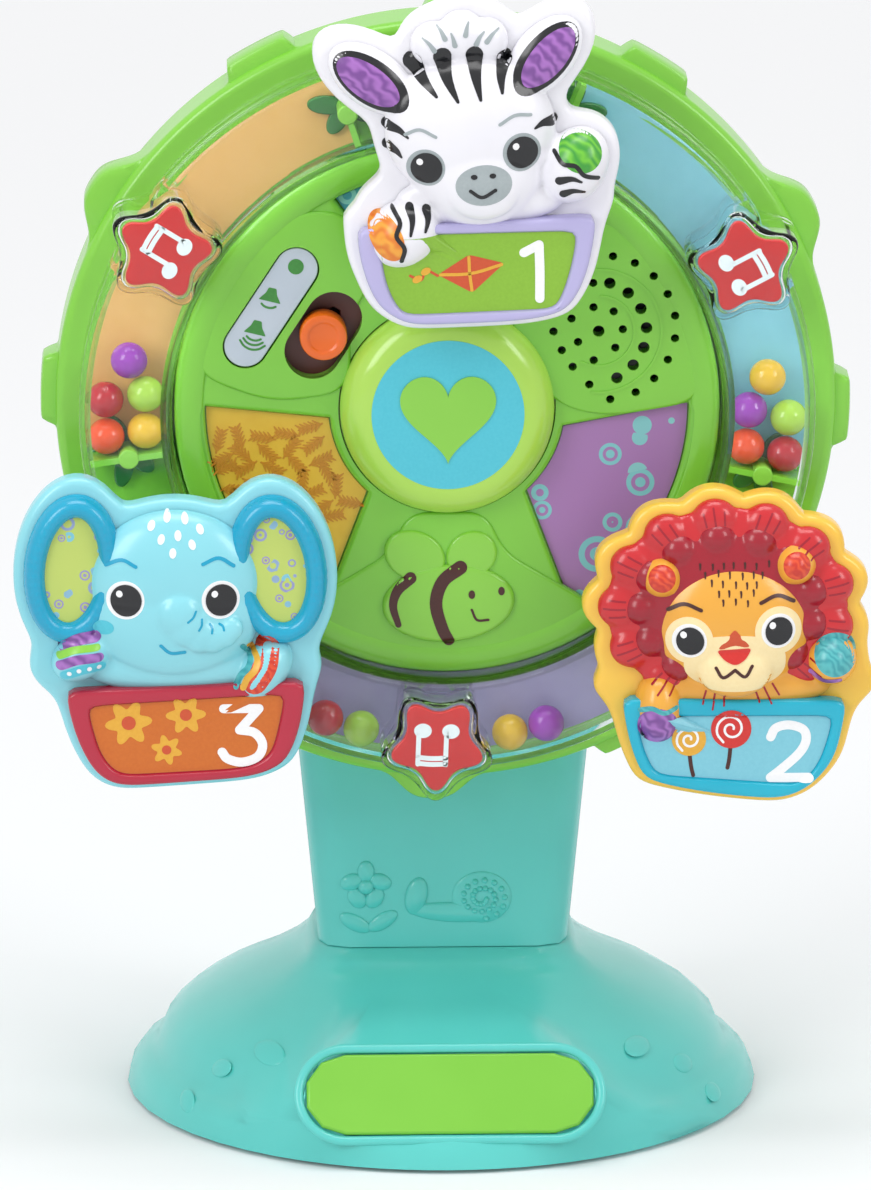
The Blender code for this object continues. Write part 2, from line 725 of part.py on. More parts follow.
def pedestal_rear():
    """The rear half, built facing forward and then turned round, with the battery bay and screw wells."""
    half = pedestal_half("pedestal_rear", -PEDESTAL_SPLIT, PEDESTAL_BACK)
    half.data.transform(Matrix.Scale(-1, 4, (0.0, 1.0, 0.0)))
    half.data.flip_normals()
    floor = PEDESTAL_BACK - DOOR_THICKNESS - 2 * CELL_RADIUS - 2 * GAP
    wall = plate(
        "wall",
        rounded_rectangle(
            BATTERY_BAY_HALF_WIDTH + PEDESTAL_WALL,
            bay_half_height() + PEDESTAL_WALL,
            BAY_CORNER,
            z=bay_middle(),
        ),
        -(PEDESTAL_BACK - PEDESTAL_WALL / 2),
        -(floor - PEDESTAL_WALL / 2),
    )
    bay = plate(
        "bay",
        rounded_rectangle(BATTERY_BAY_HALF_WIDTH, bay_half_height(), BAY_CORNER, z=bay_middle()),
        -(PEDESTAL_BACK + BEYOND),
        -floor,
    )
    seat = plate(
        "seat",
        rounded_rectangle(
            BATTERY_BAY_HALF_WIDTH + DOOR_MARGIN + GAP,
            bay_half_height() + DOOR_MARGIN + GAP,
            DOOR_CORNER,
            z=bay_middle(),
        ),
        -(PEDESTAL_BACK + BEYOND),
        -(PEDESTAL_BACK - DOOR_THICKNESS),
    )
    fuse(half, wall)
    cut(half, seat, bay)
    for degrees in (45, 135, 225, 315):
        x, z = orbit_point(SCREW_WELL_ORBIT, degrees)
        outer = plate(
            "well_wall",
            circle(SCREW_WELL_RADIUS + PEDESTAL_WALL / 2, 8, x, z),
            -(PEDESTAL_BACK - PEDESTAL_WALL / 2),
            -(PEDESTAL_BACK - SCREW_WELL_DEPTH - PEDESTAL_WALL / 2),
        )
        well = plate(
            "well",
            circle(SCREW_WELL_RADIUS, 8, x, z),
            -(PEDESTAL_BACK + BEYOND),
            -(PEDESTAL_BACK - SCREW_WELL_DEPTH),
        )
        fuse(half, outer)
        cut(half, well)
    return half


def battery_cell(name, x, upside_down):
    """A cell standing in the bay, with its nub."""
    body = CELL_LENGTH / 2
    profile = [
        (0.0, -body),
        (CELL_RADIUS, -body),
        (CELL_RADIUS, body),
        (CELL_NUB_RADIUS, body),
        (CELL_NUB_RADIUS, body + CELL_NUB_LENGTH),
        (0.0, body + CELL_NUB_LENGTH),
    ]
    cell = turned(name, profile, 14, "Z", closed=False)
    if upside_down:
        cell.data.transform(Matrix.Rotation(math.pi, 4, "Y"))
    shift = (-0.5 if not upside_down else 0.5) * CELL_NUB_LENGTH
    y = PEDESTAL_BACK - DOOR_THICKNESS - GAP - CELL_RADIUS
    cell.data.transform(Matrix.Translation((x, y, bay_middle() + shift)))
    return cell


def battery_contact(name, side):
    """A spring plate that joins the two cells at one end of the bay."""
    near = bay_half_height() - GAP - CONTACT_THICKNESS / 2
    y = PEDESTAL_BACK - DOOR_THICKNESS - GAP - CELL_RADIUS
    return plate(
        name,
        rounded_rectangle(
            2 * CELL_RADIUS - GAP,
            CONTACT_THICKNESS / 2,
            CONTACT_THICKNESS / 5,
            z=bay_middle() + side * near,
            steps=2,
        ),
        -(y + CELL_RADIUS * 0.8),
        -(y - CELL_RADIUS * 0.8),
    )


def battery_door():
    door = plate(
        "battery_door",
        rounded_rectangle(
            BATTERY_BAY_HALF_WIDTH + DOOR_MARGIN, bay_half_height() + DOOR_MARGIN, DOOR_CORNER, z=bay_middle()
        ),
        0.0,
        DOOR_THICKNESS - GAP - DOOR_ROUND,
        rounded_edge(DOOR_ROUND, 2),
    )
    seated = Matrix.Translation((0.0, PEDESTAL_BACK - DOOR_THICKNESS + GAP, 0.0))
    door.data.transform(seated @ Matrix.Scale(-1, 4, (0.0, 1.0, 0.0)))
    door.data.flip_normals()
    return door


# Hub


def orbit_point(orbit, degrees):
    return orbit * math.cos(math.radians(degrees)), orbit * math.sin(math.radians(degrees))


def hub_drum():
    """The fixed drum that carries the wheel, with posts for the circuit board."""
    shoulder = LIP_BACK - RUN_GAP / 2
    neck = BORE_RADIUS - LIP_DEPTH - RUN_GAP
    profile = [
        (0.0, -DRUM_BACK),
        (HUB_RADIUS, -DRUM_BACK),
        (HUB_RADIUS, -shoulder),
        (neck, -shoulder),
        (neck, -(COVER_BACK - GAP)),
        (neck - DRUM_WALL, -(COVER_BACK - GAP)),
        (neck - DRUM_WALL, -(DRUM_BACK + DRUM_WALL)),
        (0.0, -(DRUM_BACK + DRUM_WALL)),
    ]
    drum = turned("hub_drum", profile, HUB_SIDES, closed=False)
    for degrees in (90, 210, 330):
        x, z = orbit_point(BOARD_POST_ORBIT, degrees)
        round_post = circle(BOARD_POST_RADIUS, 8, x, z)
        fuse(drum, plate("post", round_post, DRUM_BACK + DRUM_WALL / 2, BOARD_BACK - GAP))
    return drum


def window_outline(inner_start, inner_end, outer_start, outer_end, shrink=0.0):
    """A window between two arcs, whose sides flare."""
    pad_inner = math.degrees(shrink / WINDOW_INNER)
    pad_outer = math.degrees(shrink / WINDOW_OUTER)
    outer = arc(WINDOW_OUTER - shrink, outer_start + pad_outer, outer_end - pad_outer, 10)
    inner = arc(WINDOW_INNER + shrink, inner_end - pad_inner, inner_start + pad_inner, 6)
    return outer + inner


WINDOWS = {
    "gold_label": (183.0, 230.0, 178.0, 240.5),
    "purple_label": (310.0, 352.0, 299.5, 362.0),
    "teal_label": (68.0, 112.0, 61.0, 119.0),
}


def hub_cover():
    """The front of the hub: windows, speaker grille, slide slot, button bore, round rim and the bee."""
    bore = BUTTON_RADIUS + GAP
    skirt_back = LIP_FRONT + RUN_GAP / 2
    rim_span = HUB_RADIUS - COVER_RIM_INNER
    rim_rise = COVER_RIM_FRONT - COVER_FRONT
    rim = [
        (COVER_RIM_INNER + rim_span * (0.5 - 0.5 * math.cos(a)), -(COVER_FRONT + rim_rise * math.sin(a)))
        for a in (math.pi * i / 3 for i in range(4))
    ]
    profile = (
        [(bore, -COVER_FRONT)]
        + rim
        + [
            (HUB_RADIUS, -skirt_back),
            (HUB_RADIUS - COVER_SKIRT_WALL, -skirt_back),
            (HUB_RADIUS - COVER_SKIRT_WALL, -COVER_BACK),
            (bore, -COVER_BACK),
        ]
    )
    cover = turned("hub_cover", profile, HUB_SIDES)
    for name, spans in WINDOWS.items():
        cut(cover, plate(name, window_outline(*spans), WINDOW_FLOOR, COVER_RIM_FRONT + BEYOND))
    slot = stadium(SLOT_LENGTH, SLOT_WIDTH, SLOT_ANGLE, SLOT_X, SLOT_Z)
    cut(cover, plate("slot", slot, COVER_BACK - BEYOND, COVER_RIM_FRONT + BEYOND))
    cut(
        cover,
        plate(
            "plate_recess",
            stadium(
                VOLUME_PLATE_LENGTH + 2 * GAP,
                VOLUME_PLATE_WIDTH + 2 * GAP,
                SLOT_ANGLE,
                VOLUME_PLATE_X,
                VOLUME_PLATE_Z,
            ),
            COVER_FRONT - VOLUME_PLATE_RECESS,
            COVER_RIM_FRONT + BEYOND,
        ),
    )
    for x, z, radius in grille_holes():
        hole = circle(radius, GRILLE_HOLE_SIDES, x, z)
        cut(cover, plate("hole", hole, COVER_BACK - BEYOND, COVER_FRONT + BEYOND))
    fuse(cover, bee())
    return cover


def bee():
    """A round body with two wings, standing out of the cover."""
    body = [
        (BEE_X + BEE_HALF_LENGTH * math.cos(a), BEE_Z + BEE_HALF_HEIGHT * math.sin(a))
        for a in (math.tau * i / 20 for i in range(20))
    ]
    back = COVER_FRONT - BEE_ROUND
    front = COVER_FRONT + BEE_RELIEF
    made = plate("bee", body, back, front - BEE_ROUND, rounded_edge(BEE_ROUND, 1))
    for x, z, half_x, half_z in BEE_WINGS:
        wing = [(x + half_x * u, z + half_z * v) for u, v in circle(1.0, BEE_WING_SIDES)]
        fuse(made, plate("wing", wing, back, front - 2 * BEE_ROUND))
    return made


def grille_holes():
    """Holes in two rings round a larger one, and a last turn that winds inward."""
    yield GRILLE_X, GRILLE_Z, GRILLE_CENTRE_HOLE
    for count, ring, radius in (
        (GRILLE_INNER_COUNT, GRILLE_INNER_RING, GRILLE_SMALL_HOLE),
        (GRILLE_MIDDLE_COUNT, GRILLE_MIDDLE_RING, GRILLE_LARGE_HOLE),
    ):
        for i in range(count):
            x, z = orbit_point(ring, 360 * i / count + 20)
            yield GRILLE_X + x, GRILLE_Z + z, radius
    for i in range(GRILLE_OUTER_COUNT):
        along = i / (GRILLE_OUTER_COUNT - 1)
        ring = GRILLE_OUTER_START + (GRILLE_OUTER_END - GRILLE_OUTER_START) * along
        x, z = orbit_point(ring, -60 + 300 * along)
        yield GRILLE_X + x, GRILLE_Z + z, GRILLE_SMALL_HOLE


def heart_button():
    """A domed button, hollow behind, held by a flange behind the cover."""
    face, flange = BUTTON_FRONT, COVER_BACK - GAP
    side = COVER_FRONT
    shoulder = [
        (
            BUTTON_FACE_RADIUS + (BUTTON_RADIUS - BUTTON_FACE_RADIUS) * math.sin(a),
            -(side + (face - side) * math.cos(a)),
        )
        for a in (math.radians(22.5 * i) for i in range(5))
    ]
    outer = BUTTON_RADIUS + BUTTON_FLANGE
    inside = BUTTON_RADIUS - BUTTON_WALL
    profile = (
        [(0.0, -face)]
        + shoulder
        + [
            (BUTTON_RADIUS, -flange),
            (outer, -flange),
            (outer, -(flange - BUTTON_WALL / 2)),
            (inside, -(flange - BUTTON_WALL / 2)),
            (inside, -side),
            (BUTTON_FACE_RADIUS, -(face - BUTTON_WALL)),
            (BUTTON_DOME_RADIUS, -(face - BUTTON_WALL)),
            (BUTTON_DOME_RADIUS, -(rubber_front() + BUTTON_TRAVEL + GAP)),
            (0.0, -(rubber_front() + BUTTON_TRAVEL + GAP)),
        ]
    )
    return turned("heart_button", profile, 24, closed=False)


def rubber_front():
    """How far forward the rubber dome under the button reaches."""
    return BOARD_BACK + BOARD_THICKNESS + SPEAKER_LIFT


def board_front():
    return BOARD_BACK + BOARD_THICKNESS


def circuit_board():
    return plate("circuit_board", circle(BOARD_RADIUS, 28), BOARD_BACK, board_front())


def speaker():
    """A small loudspeaker: basket, rim and cone."""
    back = COVER_BACK - GAP - SPEAKER_DEPTH
    front = COVER_BACK - GAP
    r = SPEAKER_RADIUS
    profile = [
        (0.0, -back),
        (r * 0.62, -back),
        (r * 0.62, -(back + SPEAKER_DEPTH * 0.35)),
        (r, -(back + SPEAKER_DEPTH * 0.75)),
        (r, -front),
        (r * 0.86, -front),
        (r * 0.42, -(front - SPEAKER_DEPTH * 0.35)),
        (r * 0.20, -(front - SPEAKER_DEPTH * 0.25)),
        (0.0, -(front - SPEAKER_DEPTH * 0.2)),
    ]
    made = turned("speaker", profile, 14, closed=False)
    made.data.transform(Matrix.Translation((GRILLE_X * SPEAKER_OUTWARD, 0.0, GRILLE_Z * SPEAKER_OUTWARD)))
    return made


def button_lamp():
    base = board_front() + GAP
    profile = [
        (0.0, -base),
        (LAMP_RADIUS, -base),
        (LAMP_RADIUS, -(base + LAMP_LENGTH - LAMP_RADIUS)),
        (LAMP_RADIUS * 0.7, -(base + LAMP_LENGTH - LAMP_RADIUS * 0.3)),
        (0.0, -(base + LAMP_LENGTH)),
    ]
    made = turned("button_lamp", profile, 10, closed=False)
    made.data.transform(Matrix.Translation((LAMP_OFFSET, 0.0, 0.0)))
    return made


def button_dome():
    """The rubber dome that the button's stem presses."""
    base, top = board_front() + GAP, rubber_front()
    r = BUTTON_DOME_RADIUS
    collar, tip = r * DOME_COLLAR, r * DOME_TIP
    profile = [
        (0.0, -base),
        (collar, -base),
        (collar, -(base + DOME_SWITCH_STEP)),
        (tip + DOME_SWITCH_STEP / 2, -(top - DOME_SWITCH_STEP / 2)),
        (tip, -top),
        (0.0, -top),
    ]
    return turned("button_dome", profile, 12, closed=False)


def tray_front():
    return COVER_BACK - GAP


def slot_tray():
    """The dark plate behind the slot, with a slit for the knob's stem, cut clear of the button's flange."""
    length = SLOT_LENGTH + 2 * TRAY_MARGIN
    width = SLOT_WIDTH + 2 * TRAY_MARGIN
    tray = plate(
        "slot_tray",
        stadium(length, width, SLOT_ANGLE, SLOT_X, SLOT_Z, steps=6),
        tray_front() - TRAY_THICKNESS,
        tray_front(),
    )
    slit = 2 * (KNOB_STEM_RADIUS + GAP)
    slit_outline = stadium(2 * knob_travel() + slit, slit, SLOT_ANGLE, SLOT_X, SLOT_Z, steps=4)
    button_outline = circle(BUTTON_RADIUS + BUTTON_FLANGE + RUN_GAP, HUB_SIDES)
    for outline in (slit_outline, button_outline):
        cut(tray, plate("way", outline, tray_front() - BEYOND, tray_front() + BEYOND))
    return tray


def knob_travel():
    """How far the knob slides to each side of the middle."""
    return (SLOT_LENGTH - SLOT_WIDTH) / 2


def volume_knob():
    """The slide's round button on its stem, drawn round its own axis."""
    back = tray_front() + GAP
    stem_end = board_front() + 2 * GAP + SWITCH_HEIGHT
    profile = [
        (0.0, -stem_end),
        (KNOB_STEM_RADIUS, -stem_end),
        (KNOB_STEM_RADIUS, -back),
        (KNOB_RADIUS, -back),
        (KNOB_RADIUS, -(KNOB_FRONT - KNOB_ROUND)),
        (KNOB_RADIUS - KNOB_ROUND, -KNOB_FRONT),
        (KNOB_RADIUS * KNOB_RING, -KNOB_FRONT),
        (KNOB_RADIUS * KNOB_RING_INNER, -(KNOB_FRONT - KNOB_DISH)),
        (0.0, -(KNOB_FRONT - KNOB_DISH)),
    ]
    return turned("volume_knob", profile, 16, closed=False)


def volume_switch():
    base = board_front() + GAP
    return plate(
        "volume_switch",
        stadium(SWITCH_LENGTH, SWITCH_WIDTH, SLOT_ANGLE, SLOT_X, SLOT_Z, steps=3),
        base,
        base + SWITCH_HEIGHT,
    )


def volume_plate():
    back = COVER_FRONT - VOLUME_PLATE_RECESS + GAP
    round_off = VOLUME_PLATE_THICKNESS / 3
    return plate(
        "volume_plate",
        stadium(VOLUME_PLATE_LENGTH, VOLUME_PLATE_WIDTH, SLOT_ANGLE, VOLUME_PLATE_X, VOLUME_PLATE_Z),
        back,
        back + VOLUME_PLATE_THICKNESS - round_off,
        rounded_edge(round_off, 1),
    )


# Wheel


def wheel_ring():
    """The green moulding: rim, web, bore and lip, with lugs, dividers, screw bosses and pivot posts."""
    web = RING_FRONT - RING_WEB
    inner = BORE_RADIUS + RING_WALL
    profile = [
        (BORE_RADIUS, -RING_FRONT),
        (RING_RADIUS - RING_ROUND, -RING_FRONT),
        (RING_RADIUS, -(RING_FRONT - RING_ROUND)),
        (RING_RADIUS, -WHEEL_BACK),
        (RING_RADIUS - RING_WALL, -WHEEL_BACK),
        (RING_RADIUS - RING_WALL, -web),
        (inner, -web),
        (inner, -WHEEL_BACK),
        (BORE_RADIUS, -WHEEL_BACK),
        (BORE_RADIUS, -LIP_BACK),
        (BORE_RADIUS - LIP_DEPTH, -LIP_BACK),
        (BORE_RADIUS - LIP_DEPTH, -LIP_FRONT),
        (BORE_RADIUS, -LIP_FRONT),
    ]
    ring = turned("wheel_ring", profile, WHEEL_SIDES)
    root = RING_RADIUS - RING_WALL / 2
    for i in range(LUG_COUNT):
        star = i % (LUG_COUNT // 3) == 1
        lug = lug_outline(STAR_LUG_WIDTH, STAR_LUG_REACH - root, STAR_LUG_ROUND) if star else lug_outline(
            LUG_WIDTH, LUG_REACH - root, LUG_ROUND
        )
        turned_lug = placed(lug, root, 360 * i / LUG_COUNT)
        fuse(ring, plate("lug", turned_lug, WHEEL_BACK + RING_WEB, RING_FRONT - RING_WEB))
    front = CLEAR_FRONT - CLEAR_WALL - GAP
    low, high = inner + GAP, CLEAR_RADIUS - CLEAR_WALL - GAP
    foot = RING_FRONT - RING_WEB / 2
    for pivot in PIVOT_ANGLES:
        for side in (-1, 1):
            degrees = pivot + side * DIVIDER_OFFSET
            half = (high - low) / 2
            wall = [(u, v) for u, v in ((-DIVIDER_THICKNESS / 2, -half), (DIVIDER_THICKNESS / 2, -half))]
            wall += [(-u, -v) for u, v in wall]
            fuse(ring, plate("divider", placed(wall, low + half, degrees), foot, front))
            fuse(ring, plate("boss", placed(circle(BOSS_RADIUS, 6), BOSS_ORBIT, degrees), foot, front))
        fuse(ring, plate("post", placed(circle(POST_RADIUS, 10), PIVOT_ORBIT, pivot), foot, POST_FRONT))
        bore = placed(circle(PIN_RADIUS + 2 * GAP, 10), PIVOT_ORBIT, pivot)
        cut(ring, plate("bore", bore, POST_FRONT - PIN_DEPTH, POST_FRONT + BEYOND))
    return ring


def lug_outline(width, reach, corner):
    """A grip lug with two round corners, from its root outward."""
    side = width / 2 - corner
    return (
        [(-width / 2, 0.0), (width / 2, 0.0)]
        + arc(corner, 10, 80, 2, side, reach - corner)
        + arc(corner, 100, 170, 2, -side, reach - corner)
    )


def star_outline(grow=0.0):
    """A five-pointed star with round points, one of them at the top."""
    points = []
    for i in range(STAR_STEPS):
        angle = math.tau * (i + 0.5) / STAR_STEPS
        radius = STAR_MEAN_RADIUS + grow + STAR_POINT * math.cos(5 * (angle - math.pi / 2))
        points.append((radius * math.cos(angle), radius * math.sin(angle)))
    return points


def clear_cover():
    """The clear ring over the ball channel, with a hollow star over each lug and a hole for each post."""
    back, front, wall = RING_FRONT + GAP, CLEAR_FRONT, CLEAR_WALL
    outer, inner = CLEAR_RADIUS, BORE_RADIUS
    r = CLEAR_ROUND
    profile = [
        (outer, -back),
        (outer, -(front - r)),
        (outer - r, -front),
        (inner + r, -front),
        (inner, -(front - r)),
        (inner, -back),
        (inner + wall, -back),
        (inner + wall, -(front - wall)),
        (outer - wall, -(front - wall)),
        (outer - wall, -back),
    ]
    cover = turned("clear_cover", profile, WHEEL_SIDES)
    seat = back + LABEL_THICKNESS + 2 * GAP
    for star in STAR_ANGLES:
        bubble = placed(star_outline(BUBBLE_MARGIN), STAR_ORBIT, star)
        fuse(cover, plate("bubble", bubble, seat, STAR_FRONT - BUBBLE_ROUND, rounded_edge(BUBBLE_ROUND, 1)))
        hollow = placed(star_outline(BUBBLE_MARGIN - BUBBLE_WALL), STAR_ORBIT, star)
        cut(cover, plate("hollow", hollow, seat - BEYOND, STAR_FRONT - BUBBLE_WALL))
    for pivot in PIVOT_ANGLES:
        hole = placed(circle(POST_RADIUS + GAP, 10), PIVOT_ORBIT, pivot)
        cut(cover, plate("hole", hole, seat, CLEAR_FRONT + BEYOND))
    return cover


def star_insert(name, degrees):
    front = STAR_FRONT - BUBBLE_WALL - GAP
    return plate(name, placed(star_outline(), STAR_ORBIT, degrees), front - STAR_THICKNESS, front)


def channel_label(name, start, end):
    """A coloured sheet on the floor of one ball compartment."""
    low = BORE_RADIUS + CLEAR_WALL + GAP
    high = CLEAR_RADIUS - CLEAR_WALL - GAP
    outline = arc(high, start, end, 12) + arc(low, end, start, 12)
    return plate(name, outline, RING_FRONT + GAP, RING_FRONT + GAP + LABEL_THICKNESS)


def channel_middle():
    """The depth at which a ball rolls, and the two rows it rolls in."""
    depth = CLEAR_FRONT - CLEAR_WALL - GAP - BALL_RADIUS
    inner = BORE_RADIUS + CLEAR_WALL + GAP + BALL_RADIUS
    outer = CLEAR_RADIUS - CLEAR_WALL - GAP - BALL_RADIUS
    return depth, inner, outer


def ball(name, orbit, degrees):
    depth = channel_middle()[0]
    x, z = orbit_point(orbit, degrees)
    bm = bmesh.new()
    bmesh.ops.create_icosphere(bm, subdivisions=2, radius=BALL_RADIUS)
    bmesh.ops.translate(bm, verts=bm.verts, vec=(x, -depth, z))
    return object_from(bm, name)


def ball_pitch():
    return 2 * BALL_RADIUS + GAP


def resting_cluster(wall, side):
    """Places of five balls that lie on a divider: two rows of two, and one on top."""
    depth, inner, outer = channel_middle()
    first = DIVIDER_THICKNESS / 2 + GAP + BALL_RADIUS
    places = []
    for orbit in (inner, outer):
        for row in range(2):
            places.append((orbit, wall + side * math.degrees((first + row * ball_pitch()) / orbit)))
    middle = (inner + outer) / 2
    places.append((middle, wall + side * math.degrees((first + 2 * ball_pitch()) / middle)))
    return places


def star_cluster(side, count):
    """Places of balls in a row against the side of the lowest star."""
    outer = channel_middle()[2]
    first = STAR_MEAN_RADIUS + BUBBLE_MARGIN + STAR_POINT + BALL_RADIUS
    return [(outer, 270 + side * math.degrees((first + i * ball_pitch()) / outer)) for i in range(count)]


def pivot_pin(name, degrees):
    """The headed pin that a gondola hangs on, pressed into the wheel's post."""
    head_back = pin_head_back()
    profile = [
        (0.0, -(POST_FRONT - PIN_DEPTH + GAP)),
        (PIN_RADIUS, -(POST_FRONT - PIN_DEPTH + GAP)),
        (PIN_RADIUS, -head_back),
        (PIN_HEAD_RADIUS, -head_back),
        (PIN_HEAD_RADIUS, -(head_back + PIN_HEAD_THICKNESS * 0.7)),
        (PIN_HEAD_RADIUS * 0.7, -(head_back + PIN_HEAD_THICKNESS)),
        (0.0, -(head_back + PIN_HEAD_THICKNESS)),
    ]
    pin = turned(name, profile, 12, closed=False)
    x, z = orbit_point(PIVOT_ORBIT, degrees)
    pin.data.transform(Matrix.Translation((x, 0.0, z)))
    return pin


def pin_head_back():
    return PLAQUE_BACK + PLAQUE_THICKNESS - PIN_HEAD_THICKNESS - GAP


# Gondolas


def oval_distance(shape, u, v):
    """About how far a point lies outside an oval."""
    cos, sin = math.cos(shape.tilt), math.sin(shape.tilt)
    along, across = (u - shape.u) * cos + (v - shape.v) * sin, (v - shape.v) * cos - (u - shape.u) * sin
    reach = math.hypot(along / shape.half_u, across / shape.half_v)
    return (reach - 1) * min(shape.half_u, shape.half_v)


def soft_max(values, radius):
    top = max(values)
    return top + radius * math.log(sum(math.exp((value - top) / radius) for value in values))


def basket_distance(basket, u, v):
    """About how far a point lies outside the basket's rounded trapezoid."""
    turn = math.radians(basket.tilt)
    du, dv = u - basket.u, v - basket.v
    along = du * math.cos(turn) + dv * math.sin(turn)
    down = du * math.sin(turn) - dv * math.cos(turn)
    flank = math.hypot(1.0, BASKET_SLOPE)
    sides = [(sign * along - BASKET_HALF_WIDTH + BASKET_SLOPE * down) / flank for sign in (-1, 1)]
    body = soft_max(sides + [down - BASKET_HEIGHT], BASKET_CORNER)
    return soft_max([body, -down], BASKET_CORNER / 4)


def mane_distance(u, v, radius):
    du, dv = u - MANE_U, (v - MANE_V) / MANE_SQUASH
    around = math.atan2(dv, du)
    scallop = abs(math.sin(MANE_SCALLOPS * around / 2)) * MANE_SCALLOP * 2 - MANE_SCALLOP
    return math.hypot(du, dv) - radius - scallop


def traced(distance, u, v, count):
    """The outline where a distance is nought, found along rays from a middle point."""
    points = []
    for i in range(count):
        angle = math.tau * i / count
        cos, sin = math.cos(angle), math.sin(angle)
        steps = [TRACE_REACH * (1 - k / TRACE_STEPS) for k in range(TRACE_STEPS)]
        low = next((r for r in steps if distance(u + r * cos, v + r * sin) < 0), 0.0)
        high = low + TRACE_REACH / TRACE_STEPS
        for _ in range(18):
            middle = (low + high) / 2
            if distance(u + middle * cos, v + middle * sin) < 0:
                low = middle
            else:
                high = middle
        points.append((u + low * cos, v + low * sin))
    return points


def plaque_outline(gondola):
    """The figure and the basket, grown by a margin and run together."""

    def distance(u, v):
        parts = [oval_distance(shape, u, v) for shape in gondola.ovals]
        parts.append(basket_distance(gondola.basket, u, v))
        if gondola.name == "lion":
            parts.append(mane_distance(u, v, MANE_RADIUS))
        return -soft_max([-part for part in parts], PLAQUE_BLEND) - PLAQUE_MARGIN

    return traced(distance, gondola.basket.u, gondola.basket.v / 2, PLAQUE_POINTS)


def plaque(gondola):
    """The back shell of a gondola, with a standoff, the pin's bore and a well for its head."""
    front = PLAQUE_BACK + PLAQUE_THICKNESS
    shell = plate(
        gondola.name + "_plaque",
        plaque_outline(gondola),
        PLAQUE_BACK,
        front - PLAQUE_ROUND,
        rounded_edge(PLAQUE_ROUND, 1),
    )
    standoff = circle(STANDOFF_RADIUS, WELL_SIDES)
    fuse(shell, plate("standoff", standoff, PLAQUE_BACK - PLAQUE_STANDOFF, PLAQUE_BACK + GAP))
    cut(shell, plate("bore", circle(PIN_RADIUS + PIN_CLEARANCE, 14), PLAQUE_BACK - BEYOND, front + BEYOND))
    well = circle(PIN_HEAD_RADIUS + PIN_CLEARANCE, WELL_SIDES)
    cut(shell, plate("well", well, pin_head_back() - GAP, front + BEYOND))
    return shell


def figure_back():
    return PLAQUE_BACK + PLAQUE_THICKNESS + GAP


def dome(shape, back):
    """An oval dome that stands forward of a depth, with its rear half still on."""
    bm = bmesh.new()
    bmesh.ops.create_uvsphere(bm, u_segments=12, v_segments=6, radius=1.0)
    bmesh.ops.rotate(bm, verts=bm.verts, cent=(0, 0, 0), matrix=Matrix.Rotation(math.pi / 2, 3, "X"))
    bmesh.ops.scale(bm, verts=bm.verts, vec=(shape.half_u, shape.depth, shape.half_v))
    bmesh.ops.rotate(bm, verts=bm.verts, cent=(0, 0, 0), matrix=Matrix.Rotation(-shape.tilt, 3, "Y"))
    bmesh.ops.translate(bm, verts=bm.verts, vec=(shape.u, -back, shape.v))
    return object_from(bm, "dome")


def figure(gondola):
    """The animal in relief: domes run together, flat behind, and cut clear of the basket."""
    back = figure_back()
    domes = [dome(shape, back + GAP) for shape in gondola.ovals]
    made = domes[0]
    made.name = gondola.name + "_figure"
    fuse(made, *domes[1:])
    if gondola.name == "lion":
        for radius, rise in MANE_LEVELS:
            outline = traced(
                lambda u, v: mane_distance(u, v, radius - MANE_SCALLOP),
                MANE_U,
                MANE_V,
                MANE_POINTS_EACH * MANE_SCALLOPS,
            )
            edge = rounded_edge(MANE_ROUND, 1)
            fuse(made, plate("mane", outline, back - MANE_ROUND, back + rise - MANE_ROUND, edge))
    wide = rounded_rectangle(FAR, FAR, GAP)
    cut(made, plate("rear", wide, back - FAR / 2, back))
    keep_clear = traced(
        lambda u, v: basket_distance(gondola.basket, u, v) - GAP,
        gondola.basket.u,
        gondola.basket.v - BASKET_HEIGHT / 2,
        BASKET_POINTS,
    )
    cut(made, plate("clear_basket", keep_clear, back - BEYOND, BASKET_FRONT + GAP))
    below = gondola.basket.v - BASKET_HEIGHT * FIGURE_REACH_DOWN
    under = rounded_rectangle(FAR, FAR, GAP, z=below - FAR)
    cut(made, plate("below", under, back - FAR, FAR))
    return made


def basket(gondola):
    """The tub below the figure: a round frame with a sunk panel."""
    outline = traced(
        lambda u, v: basket_distance(gondola.basket, u, v),
        gondola.basket.u,
        gondola.basket.v - BASKET_HEIGHT / 2,
        BASKET_POINTS,
    )
    round_off = BASKET_RIM / 2
    steps = rounded_edge(round_off, 1) + [(BASKET_RIM / 3, 0.0), (BASKET_PANEL_DEPTH / 2, -BASKET_PANEL_DEPTH)]
    return plate(gondola.name + "_basket", outline, figure_back(), BASKET_FRONT - round_off, steps)


